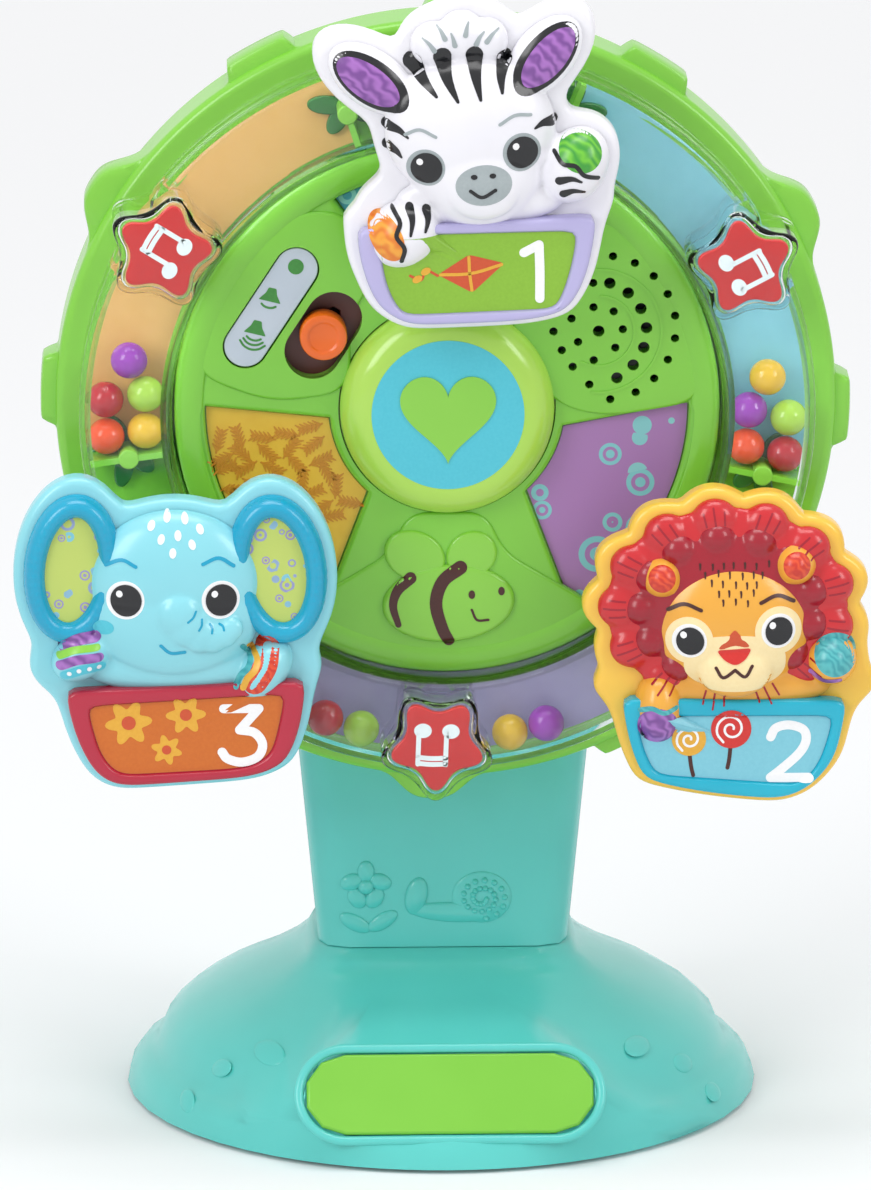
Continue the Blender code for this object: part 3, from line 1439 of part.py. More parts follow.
def build():
    clear_scene()
    turquoise = material("turquoise plastic", TURQUOISE)
    green = material("green plastic", GREEN)
    silver = material("silver plate", SILVER, 0.4)
    black = material("black rubber", "2A2A2C", 0.8)
    steel = material("plated steel", "C9CCD0", 0.3, 1.0)
    clear = material("clear plastic", "F4F8FA", 0.03, 0.0, 1.0)

    finish(suction_cup(), material("clear rubber", "B8D6D8", 0.5))
    finish(base_bottom(), turquoise)
    finish(base_shell(), turquoise)
    finish(name_plate(), silver)

    hub = empty("hub_axis", (0.0, 0.0, HUB_HEIGHT))
    finish(pedestal_front(), turquoise, hub)
    finish(pedestal_rear(), turquoise, hub)
    aside = CELL_RADIUS + GAP / 2
    for name, x, upside_down in (("battery_left", -aside, False), ("battery_right", aside, True)):
        finish(battery_cell(name, x, upside_down), steel, hub)
    finish(battery_contact("battery_contact_top", 1), steel, hub)
    finish(battery_contact("battery_contact_bottom", -1), steel, hub)
    finish(battery_door(), turquoise, hub)

    finish(hub_drum(), green, hub)
    finish(hub_cover(), green, hub)
    for name, colour in (("gold_label", "D2A62C"), ("purple_label", "A476AE"), ("teal_label", "3F94A0")):
        outline = window_outline(*WINDOWS[name], shrink=GAP)
        label = plate(name, outline, WINDOW_FLOOR + GAP, WINDOW_FLOOR + GAP + LABEL_THICKNESS)
        finish(label, material(name, colour), hub)
    finish(heart_button(), material("pale green lens", PALE_GREEN, 0.25), hub)
    finish(circuit_board(), material("circuit board", "2E7D4F", 0.5), hub)
    finish(speaker(), black, hub)
    finish(button_lamp(), material("lamp", "F2F4F0", 0.1), hub)
    finish(button_dome(), black, hub)
    finish(slot_tray(), material("maroon plastic", "5A1E12"), hub)
    finish(volume_switch(), black, hub)
    finish(volume_plate(), silver, hub)
    knob_axis = empty("knob_axis", (SLOT_X, 0.0, SLOT_Z), hub)
    finish(volume_knob(), material("orange plastic", "F26A1E"), knob_axis)

    wheel = empty("wheel_axis", (0.0, 0.0, HUB_HEIGHT), turn=WHEEL_TURN)
    finish(wheel_ring(), green, wheel)
    finish(clear_cover(), clear, wheel)
    red = material("red plastic", "D8302A")
    for name, degrees in (("star_right", 30), ("star_left", 150), ("star_bottom", 270)):
        finish(star_insert(name, degrees), red, wheel)
    edge = DIVIDER_OFFSET + LABEL_MARGIN
    for name, start, end, colour in (
        ("channel_label_right", -30 + edge, 90 - edge, "7FC3CE"),
        ("channel_label_left", 90 + edge, 210 - edge, "D8A65A"),
        ("channel_label_bottom", 210 + edge, 330 - edge, "9A95B8"),
    ):
        finish(channel_label(name, start, end), material(name, colour), wheel)

    ball_surfaces = {name: material(name + " ball", colour) for name, colour in BALL_COLOURS.items()}
    clusters = (
        ("left", ("yellow", "lime", "orange", "red", "purple"), resting_cluster(210 - DIVIDER_OFFSET, -1)),
        ("right", ("orange", "purple", "red", "lime", "yellow"), resting_cluster(330 + DIVIDER_OFFSET, 1)),
        ("bottom_left", ("lime", "red", "orange"), star_cluster(-1, 3)),
        ("bottom_right", ("yellow", "purple"), star_cluster(1, 2)),
    )
    for place, colours, spots in clusters:
        group = empty("balls_" + place, (0.0, 0.0, 0.0), wheel)
        for colour, (orbit, degrees) in zip(colours, spots):
            finish(ball(f"ball_{place}_{colour}", orbit, degrees), ball_surfaces[colour], group)

    for gondola in GONDOLAS:
        finish(pivot_pin(gondola.name + "_pin", gondola.pivot), steel, wheel)
        x, z = orbit_point(PIVOT_ORBIT, gondola.pivot - WHEEL_TURN)
        pivot = empty(gondola.name + "_pivot", (x, 0.0, HUB_HEIGHT + z))
        finish(plaque(gondola), material(gondola.name + " plaque", gondola.plaque_colour), pivot)
        finish(figure(gondola), material(gondola.name + " figure", gondola.figure_colour), pivot)
        finish(basket(gondola), material(gondola.name + " basket", gondola.basket_colour), pivot)


build()
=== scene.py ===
# %% [markdown]
# # A toy ferris wheel, finished for its photograph
# A fixed green hub stands on a turquoise foot. A ring with loose balls turns round the hub, and three
# animal gondolas hang on it. The solid frame gives every place and size, so this lesson only has to
# give each piece its smooth moulded skin, its prints and its plastic.

# %% Load the frame
import json
import math
import random
from functools import partial

import bmesh
import bpy
from mathutils import Matrix, Vector
from mathutils.bvhtree import BVHTree

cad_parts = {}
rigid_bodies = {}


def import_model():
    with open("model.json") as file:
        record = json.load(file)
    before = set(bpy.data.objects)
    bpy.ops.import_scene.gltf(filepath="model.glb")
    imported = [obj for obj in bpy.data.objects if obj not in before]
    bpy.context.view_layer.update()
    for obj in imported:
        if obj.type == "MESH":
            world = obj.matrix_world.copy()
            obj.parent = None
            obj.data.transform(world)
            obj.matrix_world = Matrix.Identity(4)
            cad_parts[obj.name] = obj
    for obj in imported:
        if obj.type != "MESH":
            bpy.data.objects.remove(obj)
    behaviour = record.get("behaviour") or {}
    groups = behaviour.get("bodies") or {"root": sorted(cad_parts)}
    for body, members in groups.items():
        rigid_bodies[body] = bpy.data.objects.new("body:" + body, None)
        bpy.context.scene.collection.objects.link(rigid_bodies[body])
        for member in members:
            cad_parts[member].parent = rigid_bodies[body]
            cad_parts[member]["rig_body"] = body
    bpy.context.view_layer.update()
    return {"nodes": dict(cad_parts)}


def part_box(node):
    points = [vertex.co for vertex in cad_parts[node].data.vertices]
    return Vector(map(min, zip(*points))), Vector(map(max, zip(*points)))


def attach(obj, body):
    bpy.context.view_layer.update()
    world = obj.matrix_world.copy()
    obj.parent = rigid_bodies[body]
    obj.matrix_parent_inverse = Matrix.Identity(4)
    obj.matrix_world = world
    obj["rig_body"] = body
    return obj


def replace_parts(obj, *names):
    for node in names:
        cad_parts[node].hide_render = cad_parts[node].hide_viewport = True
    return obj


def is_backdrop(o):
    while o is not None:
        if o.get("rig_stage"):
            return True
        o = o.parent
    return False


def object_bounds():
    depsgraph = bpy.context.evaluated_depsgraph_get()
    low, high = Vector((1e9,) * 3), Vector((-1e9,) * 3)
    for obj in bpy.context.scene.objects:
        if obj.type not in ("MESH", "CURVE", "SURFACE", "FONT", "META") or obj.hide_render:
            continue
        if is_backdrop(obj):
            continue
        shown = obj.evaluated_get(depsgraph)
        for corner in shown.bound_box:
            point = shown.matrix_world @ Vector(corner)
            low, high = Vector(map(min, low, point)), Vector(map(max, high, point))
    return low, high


for item in list(bpy.data.objects):
    bpy.data.objects.remove(item, do_unlink=True)
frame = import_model()
MM = 0.001
nodes = frame["nodes"]

# %% [markdown]
# ## Places to measure from
# Everything turns round two kinds of axis: the hub's and the gondolas' pins. Reading them from the
# frame keeps the prints in place if the frame changes.

# %% Measure the axes
def middle(node):
    """The middle of a frame piece's box."""
    low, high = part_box(node)
    return (low + high) / 2


HUB = middle("circuit_board")
PIVOTS = {name: middle(name + "_pin") for name in ("zebra", "elephant", "lion")}
WHEEL_TURN = math.degrees(math.atan2(PIVOTS["zebra"].x - HUB.x, PIVOTS["zebra"].z - HUB.z))
print("hub height", round(HUB.z, 4), "wheel turned by", round(WHEEL_TURN, 2), "degrees")


def at(owner, u, v):
    """A front-view point from millimetres right of and above an axis."""
    origin = PIVOTS.get(owner, HUB)
    return origin.x + u * MM, origin.z + v * MM


def on_wheel(orbit, degrees, across=0.0, outward=0.0):
    """A front-view point on the turned wheel, with offsets in millimetres along and across the spoke."""
    turn = math.radians(degrees - WHEEL_TURN)
    reach = (orbit + outward) * MM
    return (
        HUB.x + reach * math.cos(turn) + across * MM * math.sin(turn),
        HUB.z + reach * math.sin(turn) - across * MM * math.cos(turn),
    )


# %% [markdown]
# ## Camera
# The photograph is taken from about three metres with a long lens, a little above the toy and a hair
# to its left. A long lens keeps the wheel round, so the camera stands far off too.

# %% Camera
camera_data = bpy.data.cameras.new("camera")
camera = bpy.data.objects.new("camera", camera_data)
bpy.context.collection.objects.link(camera)
target = Vector((-0.0013, 0.0, 0.1175))
azimuth, elevation = math.radians(-1.8), math.radians(15)
CAMERA_REACH, FILM_HEIGHT, FOCAL_LENGTH = 3.0, 36.0, 390.7
level = math.cos(elevation)
back = Vector((math.sin(azimuth) * level, -math.cos(azimuth) * level, math.sin(elevation)))
camera.location = target + CAMERA_REACH * back
camera.rotation_euler = (-back).to_track_quat("-Z", "Y").to_euler()
camera_data.sensor_fit = "VERTICAL"
camera_data.sensor_height = FILM_HEIGHT
camera_data.lens = FOCAL_LENGTH
camera_data.clip_start, camera_data.clip_end = 0.1, 20.0
bpy.context.scene.camera = camera
bpy.context.scene.view_settings.view_transform = "Standard"
print("camera", [round(value, 3) for value in camera.location])

# %% [markdown]
# ## Colours and nodes
# Colours are written as on a colour chart, in sRGB hex, and turned to linear once. One helper adds
# a shader node with its settings and links, which keeps each material to a few lines.

# %% Colour and node helpers
def colour(code):
    """A colour chart's hex code as linear red, green, blue and alpha."""
    values = [int(code[i : i + 2], 16) / 255 for i in (0, 2, 4)]
    return (*[v / 12.92 if v <= 0.04045 else ((v + 0.055) / 1.055) ** 2.4 for v in values], 1.0)


def add_node(tree, kind, inputs=None, **settings):
    """Adds a node. Inputs are values, or the output sockets that feed them."""
    made = tree.nodes.new(kind)
    for key, value in settings.items():
        setattr(made, key, value)
    for key, value in (inputs or {}).items():
        if isinstance(value, bpy.types.NodeSocket):
            tree.links.new(value, made.inputs[key])
        else:
            made.inputs[key].default_value = value
    return made


def new_material(name, **settings):
    """A material with one Principled shader, whose constants are set on its own sockets."""
    made = bpy.data.materials.new(name)
    made.use_nodes = True
    shader = made.node_tree.nodes["Principled BSDF"]
    for key, value in settings.items():
        shader.inputs[key.replace("_", " ")].default_value = value
    return made, made.node_tree, shader


# %% [markdown]
# ## Moulded plastic
# Nearly the whole toy is glossy ABS, injection moulded in a polished tool. It reflects lamps sharply,
# yet not like a mirror: the skin has a faint ripple, and the colour drifts a little where the melt
# flowed. A wide noise drives that drift and a fine one the ripple.

# %% Moulded plastic
def moulded_plastic(name, code, deeper, roughness=0.22, flow=26.0, ripple=1.6):
    """Glossy ABS. Flow and ripple are the patterns' sizes in millimetres."""
    low, high = roughness - 0.04, roughness + 0.05
    made, tree, shader = new_material(name, IOR=1.53)
    place = add_node(tree, "ShaderNodeTexCoord").outputs["Object"]
    drift = add_node(tree, "ShaderNodeTexNoise", {"Vector": place, "Scale": 1 / (flow * MM), "Detail": 2.0})
    shades = {0: drift.outputs["Fac"], 6: colour(code), 7: colour(deeper)}
    tint = add_node(tree, "ShaderNodeMix", shades, data_type="RGBA")
    tree.links.new(tint.outputs[2], shader.inputs["Base Color"])
    dull = add_node(tree, "ShaderNodeMapRange", {"Value": drift.outputs["Fac"], "To Min": low, "To Max": high})
    tree.links.new(dull.outputs["Result"], shader.inputs["Roughness"])
    fine = add_node(tree, "ShaderNodeTexNoise", {"Vector": place, "Scale": 1 / (ripple * MM), "Detail": 1.0})
    bump = add_node(tree, "ShaderNodeBump", {"Height": fine.outputs["Fac"], "Strength": 0.12, "Distance": 0.03 * MM})
    tree.links.new(bump.outputs["Normal"], shader.inputs["Normal"])
    return made


turquoise = moulded_plastic("turquoise_abs", "62D2CB", "55C6BF")
green = moulded_plastic("green_abs", "86CF45", "78C238")
white = moulded_plastic("white_abs", "F4F3F7", "E9E8F0")
aqua = moulded_plastic("aqua_abs", "94DCE6", "84D2DF")
yellow = moulded_plastic("yellow_abs", "F7CB52", "F2BC3E")
lavender = moulded_plastic("lavender_paint", "BDB7E0", "B0AAD8")
crimson = moulded_plastic("crimson_paint", "BE2440", "AA1A34")
cyan = moulded_plastic("cyan_paint", "18B8D2", "0CA6C4")
deep_cyan = moulded_plastic("deep_cyan_paint", "12A9CC", "0B97BE")
scarlet = moulded_plastic("scarlet_paint", "D42A30", "C01E28")
wine = moulded_plastic("wine_paint", "A8152A", "960F24")
orange = moulded_plastic("orange_abs", "F2731F", "EA6216")
maroon = moulded_plastic("maroon_abs", "5C2014", "4C170E", 0.35)
print("plastics:", len(bpy.data.materials))

# %% [markdown]
# ## Clear plastic
# The ball channel and the star bubbles are clear polystyrene. Real light passes it, so lamp rays are
# let straight through by a transparent shader, and the eye's rays meet glass with a hint of grey.

# %% Clear plastic
def clear_plastic(name, code, roughness):
    """Glass to the eye, and open to the lamps."""
    made, tree, shader = new_material(
        name, Base_Color=colour(code), Roughness=roughness, IOR=1.3, Transmission_Weight=1.0
    )
    passing = add_node(tree, "ShaderNodeBsdfTransparent", {"Color": colour(code)})
    shadow = add_node(tree, "ShaderNodeLightPath").outputs["Is Shadow Ray"]
    mix = add_node(tree, "ShaderNodeMixShader", {0: shadow, 1: shader.outputs[0], 2: passing.outputs[0]})
    tree.links.new(mix.outputs[0], tree.nodes["Material Output"].inputs["Surface"])
    return made


clear = clear_plastic("clear_polystyrene", "F6F9FA", 0.02)

# %% [markdown]
# ## Printing ink
# Eyes, stripes, signs and digits are pad printed or hot stamped: an even film with a slightly softer
# shine than the plastic. A fine mottle stands for the screen that the ink goes through.

# %% Printing ink
def ink(name, code, deeper, roughness=0.3, dot=0.7, metallic=0.0):
    """An ink film. Dot is the mottle's size in millimetres."""
    made, tree, shader = new_material(name, Roughness=roughness, IOR=1.5, Metallic=metallic)
    place = add_node(tree, "ShaderNodeTexCoord").outputs["Object"]
    mottle = add_node(tree, "ShaderNodeTexNoise", {"Vector": place, "Scale": 1 / (dot * MM), "Detail": 1.0})
    shades = {0: mottle.outputs["Fac"], 6: colour(code), 7: colour(deeper)}
    tint = add_node(tree, "ShaderNodeMix", shades, data_type="RGBA")
    tree.links.new(tint.outputs[2], shader.inputs["Base Color"])
    return made


ink_black = ink("black_ink", "1B1C20", "101114", 0.18)
ink_white = ink("white_ink", "FAFAFA", "F0F0F2")
ink_grey = ink("grey_ink", "A9B2B4", "9AA5A8")
ink_pale_grey = ink("pale_grey_ink", "E3EAEA", "D8E2E3")
ink_brown = ink("brown_ink", "4A1A12", "3A120C")
ink_dark_green = ink("dark_green_ink", "3F8F3A", "347E30")
ink_sky = ink("sky_ink", "55C8DA", "49BED2")
ink_leaf_green = ink("leaf_green_ink", "8FD24A", "84C83F")
ink_red = ink("red_ink", "D8312C", "C92822")
ink_orange_red = ink("orange_red_ink", "D2552C", "C64A24")
ink_amber = ink("amber_ink", "E8B23C", "DFA22C")
ink_panel_green = ink("panel_green_ink", "8DBF37", "82B42E")
ink_panel_orange = ink("panel_orange_ink", "D2701F", "C86418")
ink_panel_blue = ink("panel_blue_ink", "84CCDC", "78C2D4")
print("inks ready:", len(bpy.data.materials), "materials in all")

# %% [markdown]
# ## Smooth skins for the frame's pieces
# The frame is made of flat facets. A copy of a piece is merged, its sharp edges get the small round
# that a mould always has, and the rest is shaded smooth. The copy then stands for the frame's node.

# %% Skins
def body_of(node):
    """The name of the body that a frame piece belongs to."""
    return nodes[node]["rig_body"]


def as_object(bm, name):
    """An object made of a bmesh, which is used up."""
    mesh = bpy.data.meshes.new(name)
    bm.to_mesh(mesh)
    bm.free()
    made = bpy.data.objects.new(name, mesh)
    bpy.context.collection.objects.link(made)
    return made


def applied(made, *others):
    """An object's mesh with its modifiers, as a bmesh. The objects are removed."""
    graph = bpy.context.evaluated_depsgraph_get()
    bm = bmesh.new()
    bm.from_mesh(made.evaluated_get(graph).to_mesh())
    for item in (made, *others):
        bpy.data.objects.remove(item, do_unlink=True)
    return bm


def finished(bm, name, material, body, sharp=35.0):
    """Turns a bmesh into a piece that rides on a body."""
    bmesh.ops.recalc_face_normals(bm, faces=bm.faces)
    made = as_object(bm, name)
    made.data.materials.append(material)
    made.data.shade_smooth()
    made.data.set_sharp_from_angle(angle=math.radians(sharp))
    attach(made, body)
    return made


def skin(node, material, edge=0.0, sharp=32.0):
    """A merged, smooth copy of a frame piece, with its sharp edges rounded."""
    bm = bmesh.new()
    bm.from_mesh(nodes[node].data)
    bmesh.ops.remove_doubles(bm, verts=bm.verts, dist=1e-6)
    bmesh.ops.dissolve_limit(bm, angle_limit=math.radians(0.6), verts=bm.verts, edges=bm.edges)
    made = finished(bm, node + "_skin", material, body_of(node), sharp)
    if edge:
        rounding = made.modifiers.new("mould_round", "BEVEL")
        rounding.width = edge * MM
        rounding.segments = 2
        rounding.limit_method = "ANGLE"
        rounding.angle_limit = math.radians(40)
        rounding.harden_normals = True
    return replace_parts(made, node)


shell_skin = skin("base_shell", turquoise, sharp=50)
front_skin = skin("pedestal_front", turquoise, sharp=50)
skin("pedestal_rear", turquoise, sharp=50)

# %% [markdown]
# ## Floor, world and lamps
# The photograph has a white sweep and a soft shadow under the foot. The floor is a pale plane whose
# white is topped up for the eye's rays only, so it stays white and keeps the shadow. The top-up is
# weaker near the toy, which paints shade on the floor round the foot. A pale world fills, and three
# soft boxes give the long highlights on the plastic.

# %% Floor and world
def seen_by_eye(tree):
    """1 for the eye's rays and for what glass and gloss show of the background."""
    light = add_node(tree, "ShaderNodeLightPath")
    kinds = ("Is Camera Ray", "Is Glossy Ray", "Is Transmission Ray")
    camera_ray, glossy_ray, glass_ray = (light.outputs[kind] for kind in kinds)
    first = add_node(tree, "ShaderNodeMath", {0: camera_ray, 1: glossy_ray}, operation="MAXIMUM")
    return add_node(tree, "ShaderNodeMath", {0: first.outputs[0], 1: glass_ray}, operation="MAXIMUM").outputs[0]


FLOOR_REACH = 6.0
GLOW_NEAR, GLOW_FAR, WORLD_FILL = 0.06, 0.34, 0.55
bm = bmesh.new()
bmesh.ops.create_grid(bm, x_segments=1, y_segments=1, size=FLOOR_REACH)
floor = as_object(bm, "floor")
floor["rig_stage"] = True
paper, tree, shader = new_material("white_paper_sweep", Base_Color=colour("EDEEF0"), Roughness=0.9)
top_up = add_node(tree, "ShaderNodeEmission", {"Color": (1.0, 1.0, 1.0, 1.0)})
place = add_node(tree, "ShaderNodeTexCoord").outputs["Object"]
away = add_node(tree, "ShaderNodeVectorMath", {0: place}, operation="LENGTH")
# The glow is weakest near the toy and grows with distance from it: painted shade on the floor round the foot.
glow = add_node(
    tree,
    "ShaderNodeMapRange",
    {"Value": away.outputs["Value"], "From Min": 0.1, "From Max": 1.6, "To Min": GLOW_NEAR, "To Max": GLOW_FAR},
)
strength = add_node(tree, "ShaderNodeMath", {0: seen_by_eye(tree), 1: glow.outputs["Result"]}, operation="MULTIPLY")
tree.links.new(strength.outputs[0], top_up.inputs["Strength"])
both = add_node(tree, "ShaderNodeAddShader", {0: shader.outputs[0], 1: top_up.outputs[0]})
tree.links.new(both.outputs[0], tree.nodes["Material Output"].inputs["Surface"])
floor.data.materials.append(paper)

world = bpy.data.worlds.new("studio")
world.use_nodes = True
bpy.context.scene.world = world
tree = world.node_tree
fill = add_node(tree, "ShaderNodeMapRange", {"Value": seen_by_eye(tree), "To Min": WORLD_FILL, "To Max": 1.0})
background = tree.nodes["Background"]
background.inputs["Color"].default_value = (1.0, 1.0, 1.0, 1.0)
tree.links.new(fill.outputs["Result"], background.inputs["Strength"])
print("floor reaches", FLOOR_REACH, "m each way")


# %% Soft boxes
TOY_MIDDLE = Vector((0.0, 0.0, 0.14))


def soft_box(name, place, width, height, watts):
    """A rectangular lamp that faces the toy's middle."""
    data = bpy.data.lights.new(name, "AREA")
    data.shape, data.size, data.size_y, data.energy = "RECTANGLE", width, height, watts
    lamp = bpy.data.objects.new(name, data)
    bpy.context.collection.objects.link(lamp)
    lamp.location = place
    lamp.rotation_euler = (Vector(place) - TOY_MIDDLE).to_track_quat("Z", "Y").to_euler()


soft_box("left_box", (-1.0, -1.0, 0.9), 0.5, 0.9, 8.0)
soft_box("right_box", (1.1, -0.9, 0.9), 0.4, 0.7, 5.0)
soft_box("top_box", (0.0, -0.2, 1.5), 1.1, 0.6, 9.0)
print("lamps:", len(bpy.data.lights))

# %% [markdown]
# ## Tools for relief and print
# The gondolas are soft forms with pictures pad printed over them. All their sizes are millimetres in
# the front view, right of and above the pin that a gondola hangs on. An outline is a list of such
# points, running anticlockwise.

# %% Outlines
PLAQUE_REAR, PLAQUE_FRONT, FIGURE_REAR, FIGURE_FRONT = 60.0, 66.0, 66.3, 75.7


def turns(start, end, steps):
    """Evenly spaced angles, given in degrees, in radians."""
    return [math.radians(start + (end - start) * k / steps) for k in range(steps + 1)]


def oval(u, v, half_u, half_v, tilt=0.0, count=36, power=2.0):
    """An oval outline. A power over 2 makes it squarer."""
    turn, points = math.radians(tilt), []
    for i in range(count):
        cos, sin = math.cos(math.tau * i / count), math.sin(math.tau * i / count)
        a = half_u * math.copysign(abs(cos) ** (2 / power), cos)
        b = half_v * math.copysign(abs(sin) ** (2 / power), sin)
        points.append((u + a * math.cos(turn) - b * math.sin(turn), v + a * math.sin(turn) + b * math.cos(turn)))
    return points


def rounded(corners, radius, steps=7):
    """A polygon whose corners are cut by curves, turned anticlockwise."""
    corners = [Vector(corner) for corner in corners]
    twice_area = sum(a.x * b.y - b.x * a.y for a, b in zip(corners, corners[1:] + corners[:1]))
    if twice_area < 0:
        corners.reverse()
    points = []
    for i, corner in enumerate(corners):
        before, after = corners[i - 1] - corner, corners[(i + 1) % len(corners)] - corner
        start = corner + before.normalized() * min(radius, before.length * 0.49)
        end = corner + after.normalized() * min(radius, after.length * 0.49)
        for k in range(steps + 1):
            t = k / steps
            points.append(tuple(start * (1 - t) ** 2 + corner * (2 * t * (1 - t)) + end * t * t))
    return points


def offset(outline, distance):
    """The outline moved outward."""
    moved = []
    for i, (u, v) in enumerate(outline):
        before, after = outline[i - 1], outline[(i + 1) % len(outline)]
        along = Vector((after[0] - before[0], after[1] - before[1])).normalized()
        moved.append((u + distance * along.y, v - distance * along.x))
    return moved


def traced(distance, u, v, count, reach=70.0):
    """The outline where a distance is nought, found along rays from a middle point."""
    points = []
    for i in range(count):
        cos, sin = math.cos(math.tau * i / count), math.sin(math.tau * i / count)
        low = next((r for r in range(int(reach), 0, -1) if distance(u + r * cos, v + r * sin) < 0), 0.0)
        high = low + 1.0
        for _ in range(12):
            middle_reach = (low + high) / 2
            if distance(u + middle_reach * cos, v + middle_reach * sin) < 0:
                low = middle_reach
            else:
                high = middle_reach
        points.append((u + low * cos, v + low * sin))
    return points


def bridge(bm, rows, wrap=True):
    """Faces between rows of vertices. Wrapped rows are rings."""
    for near, far in zip(rows, rows[1:]):
        for i in range(0 if wrap else 1, len(near)):
            bm.faces.new((near[i - 1], near[i], far[i], far[i - 1]))


def lofted(owner, sections):
    """A closed body through outlines, each given with how far in front of the axis plane it lies."""
    bm = bmesh.new()
    rings = []
    for outline, depth in sections:
        rings.append([bm.verts.new((x, -depth * MM, z)) for x, z in (at(owner, u, v) for u, v in outline)])
    bridge(bm, rings)
    bm.faces.new(rings[0])
    bm.faces.new(rings[-1])
    return bm


def round_over(outline, front, radius, steps=5):
    """Sections that round an edge off toward the front."""
    return [
        (offset(outline, radius * (math.cos(a) - 1)), front - radius * (1 - math.sin(a))) for a in turns(0, 90, steps)
    ]


print("outline of an oval:", len(oval(0, 0, 1, 1)), "points")

# %% [markdown]
# A relief is a handful of domes melted together. Voxel remeshing gives one even skin over them, which
# is then relaxed, and cut flat where it meets the plaque. Clay modelled toys have just such forms.


# %% Relief from domes
def ball_shape(u, v, half_u, half_v, depth, tilt=0.0, lift=0.3):
    """One dome's place: its middle, half sizes, depth, tilt and how far its middle stands forward."""
    return u, v, half_u, half_v, depth, tilt, lift


def relief(name, owner, domes, material, voxel=0.42, relax=7, segments=48):
    """Domes melted into one skin, cut flat at the plaque and kept within the figure's depth."""
    bm = bmesh.new()
    for u, v, half_u, half_v, depth, tilt, lift in domes:
        x, z = at(owner, u, v)
        place = Matrix.Translation((x, -(FIGURE_REAR + lift) * MM, z)) @ Matrix.Rotation(-math.radians(tilt), 4, "Y")
        size = Matrix.Diagonal((half_u * MM, depth * MM, half_v * MM, 1.0))
        bmesh.ops.create_uvsphere(bm, u_segments=segments, v_segments=segments // 2, radius=1.0, matrix=place @ size)
    lump = as_object(bm, name)
    melt = lump.modifiers.new("melt", "REMESH")
    melt.mode, melt.voxel_size = "VOXEL", voxel * MM
    bm = applied(lump)
    for _ in range(relax):
        bmesh.ops.smooth_vert(bm, verts=bm.verts, factor=0.5, use_axis_x=True, use_axis_y=True, use_axis_z=True)
    cut = bmesh.ops.bisect_plane(
        bm,
        geom=bm.verts[:] + bm.edges[:] + bm.faces[:],
        plane_co=(0.0, -FIGURE_REAR * MM, 0.0),
        plane_no=(0.0, 1.0, 0.0),
        clear_outer=True,
    )
    rim = [item for item in cut["geom_cut"] if isinstance(item, bmesh.types.BMEdge)]
    bmesh.ops.triangle_fill(bm, edges=rim, use_beauty=False, normal=(0.0, 1.0, 0.0))
    deepest = -min(vert.co.y for vert in bm.verts) / MM
    if deepest > FIGURE_FRONT:
        share = (FIGURE_FRONT - FIGURE_REAR) / (deepest - FIGURE_REAR)
        for vert in bm.verts:
            vert.co.y = -(FIGURE_REAR + (-vert.co.y / MM - FIGURE_REAR) * share) * MM
    return finished(bm, name, material, body_of(owner + "_plaque"), 50.0)


# %% [markdown]
# Prints are draped: a grid of front-view points is dropped from the front on whatever lies behind, and
# made a thin film with a back and a rim. Films of one ink on one gondola become one piece. A point that
# meets nothing, as over a grille hole, keeps the depth of the point before it.


# %% Draped prints
surfaces, films = {}, {}
FILM_DEPTH = 0.25
FALLBACK = {"hub": -42.6}


def surface_of(owner, *pieces):
    """Keeps the surface that prints of an owner fall on."""
    bm = bmesh.new()
    for piece in pieces:
        bm.from_mesh(piece.data)
    surfaces[owner] = BVHTree.FromBMesh(bm)
    bm.free()


def pour(bm, whole):
    """Adds a bmesh, which is used up, to another."""
    mesh = bpy.data.meshes.new("part")
    bm.to_mesh(mesh)
    bm.free()
    whole.from_mesh(mesh)
    bpy.data.meshes.remove(mesh)


def film(owner, rows, wrap, material, lift):
    """A closed film from rows of front-view points. Wrapped rows are rings from the middle outward."""
    bm = bmesh.new()
    grid = []
    y = FALLBACK.get(owner, -PLAQUE_FRONT) * MM
    for row in rows:
        grid.append([])
        for u, v in row:
            x, z = at(owner, u, v)
            hit = surfaces[owner].ray_cast(Vector((x, -0.2, z)), Vector((0.0, 1.0, 0.0)))[0]
            y = hit.y if hit else y
            grid[-1].append(bm.verts.new((x, y - lift * MM, z)))
    bridge(bm, grid, wrap)
    if wrap:
        bm.faces.new(grid[0])
    rim = [edge for edge in bm.edges if edge.is_boundary]
    fronts = bm.verts[:]
    copy = bmesh.ops.duplicate(bm, geom=fronts + bm.edges[:] + bm.faces[:])
    for vert in fronts:
        copy["vert_map"][vert].co.y = vert.co.y + FILM_DEPTH * MM
    for edge in rim:
        a, b = edge.verts
        bm.faces.new((a, b, copy["vert_map"][b], copy["vert_map"][a]))
    bmesh.ops.recalc_face_normals(bm, faces=bm.faces)
    pour(bm, films.setdefault((owner, material.name), bmesh.new()))


def paint(owner, outline, material, lift=0.08, rings=7):
    """Fills an outline that can be seen whole from its middle."""
    middle_u = sum(u for u, _ in outline) / len(outline)
    middle_v = sum(v for _, v in outline) / len(outline)
    scales = [0.06 + 0.94 * k / rings for k in range(rings + 1)]
    rows = [[(middle_u + (u - middle_u) * s, middle_v + (v - middle_v) * s) for u, v in outline] for s in scales]
    film(owner, rows, True, material, lift)


def curve_through(path, steps=6):
    """Catmull-Rom points through a path."""
    path = [Vector(point) for point in path]
    padded = [path[0] * 2 - path[1]] + path + [path[-1] * 2 - path[-2]]
    points = []
    for a, b, c, d in zip(padded, padded[1:], padded[2:], padded[3:]):
        for k in range(steps):
            t = k / steps
            bend, twist = 2 * a - 5 * b + 4 * c - d, 3 * b - a - 3 * c + d
            points.append(0.5 * (2 * b + (c - a) * t + bend * t * t + twist * t**3))
    return points + [path[-1]]


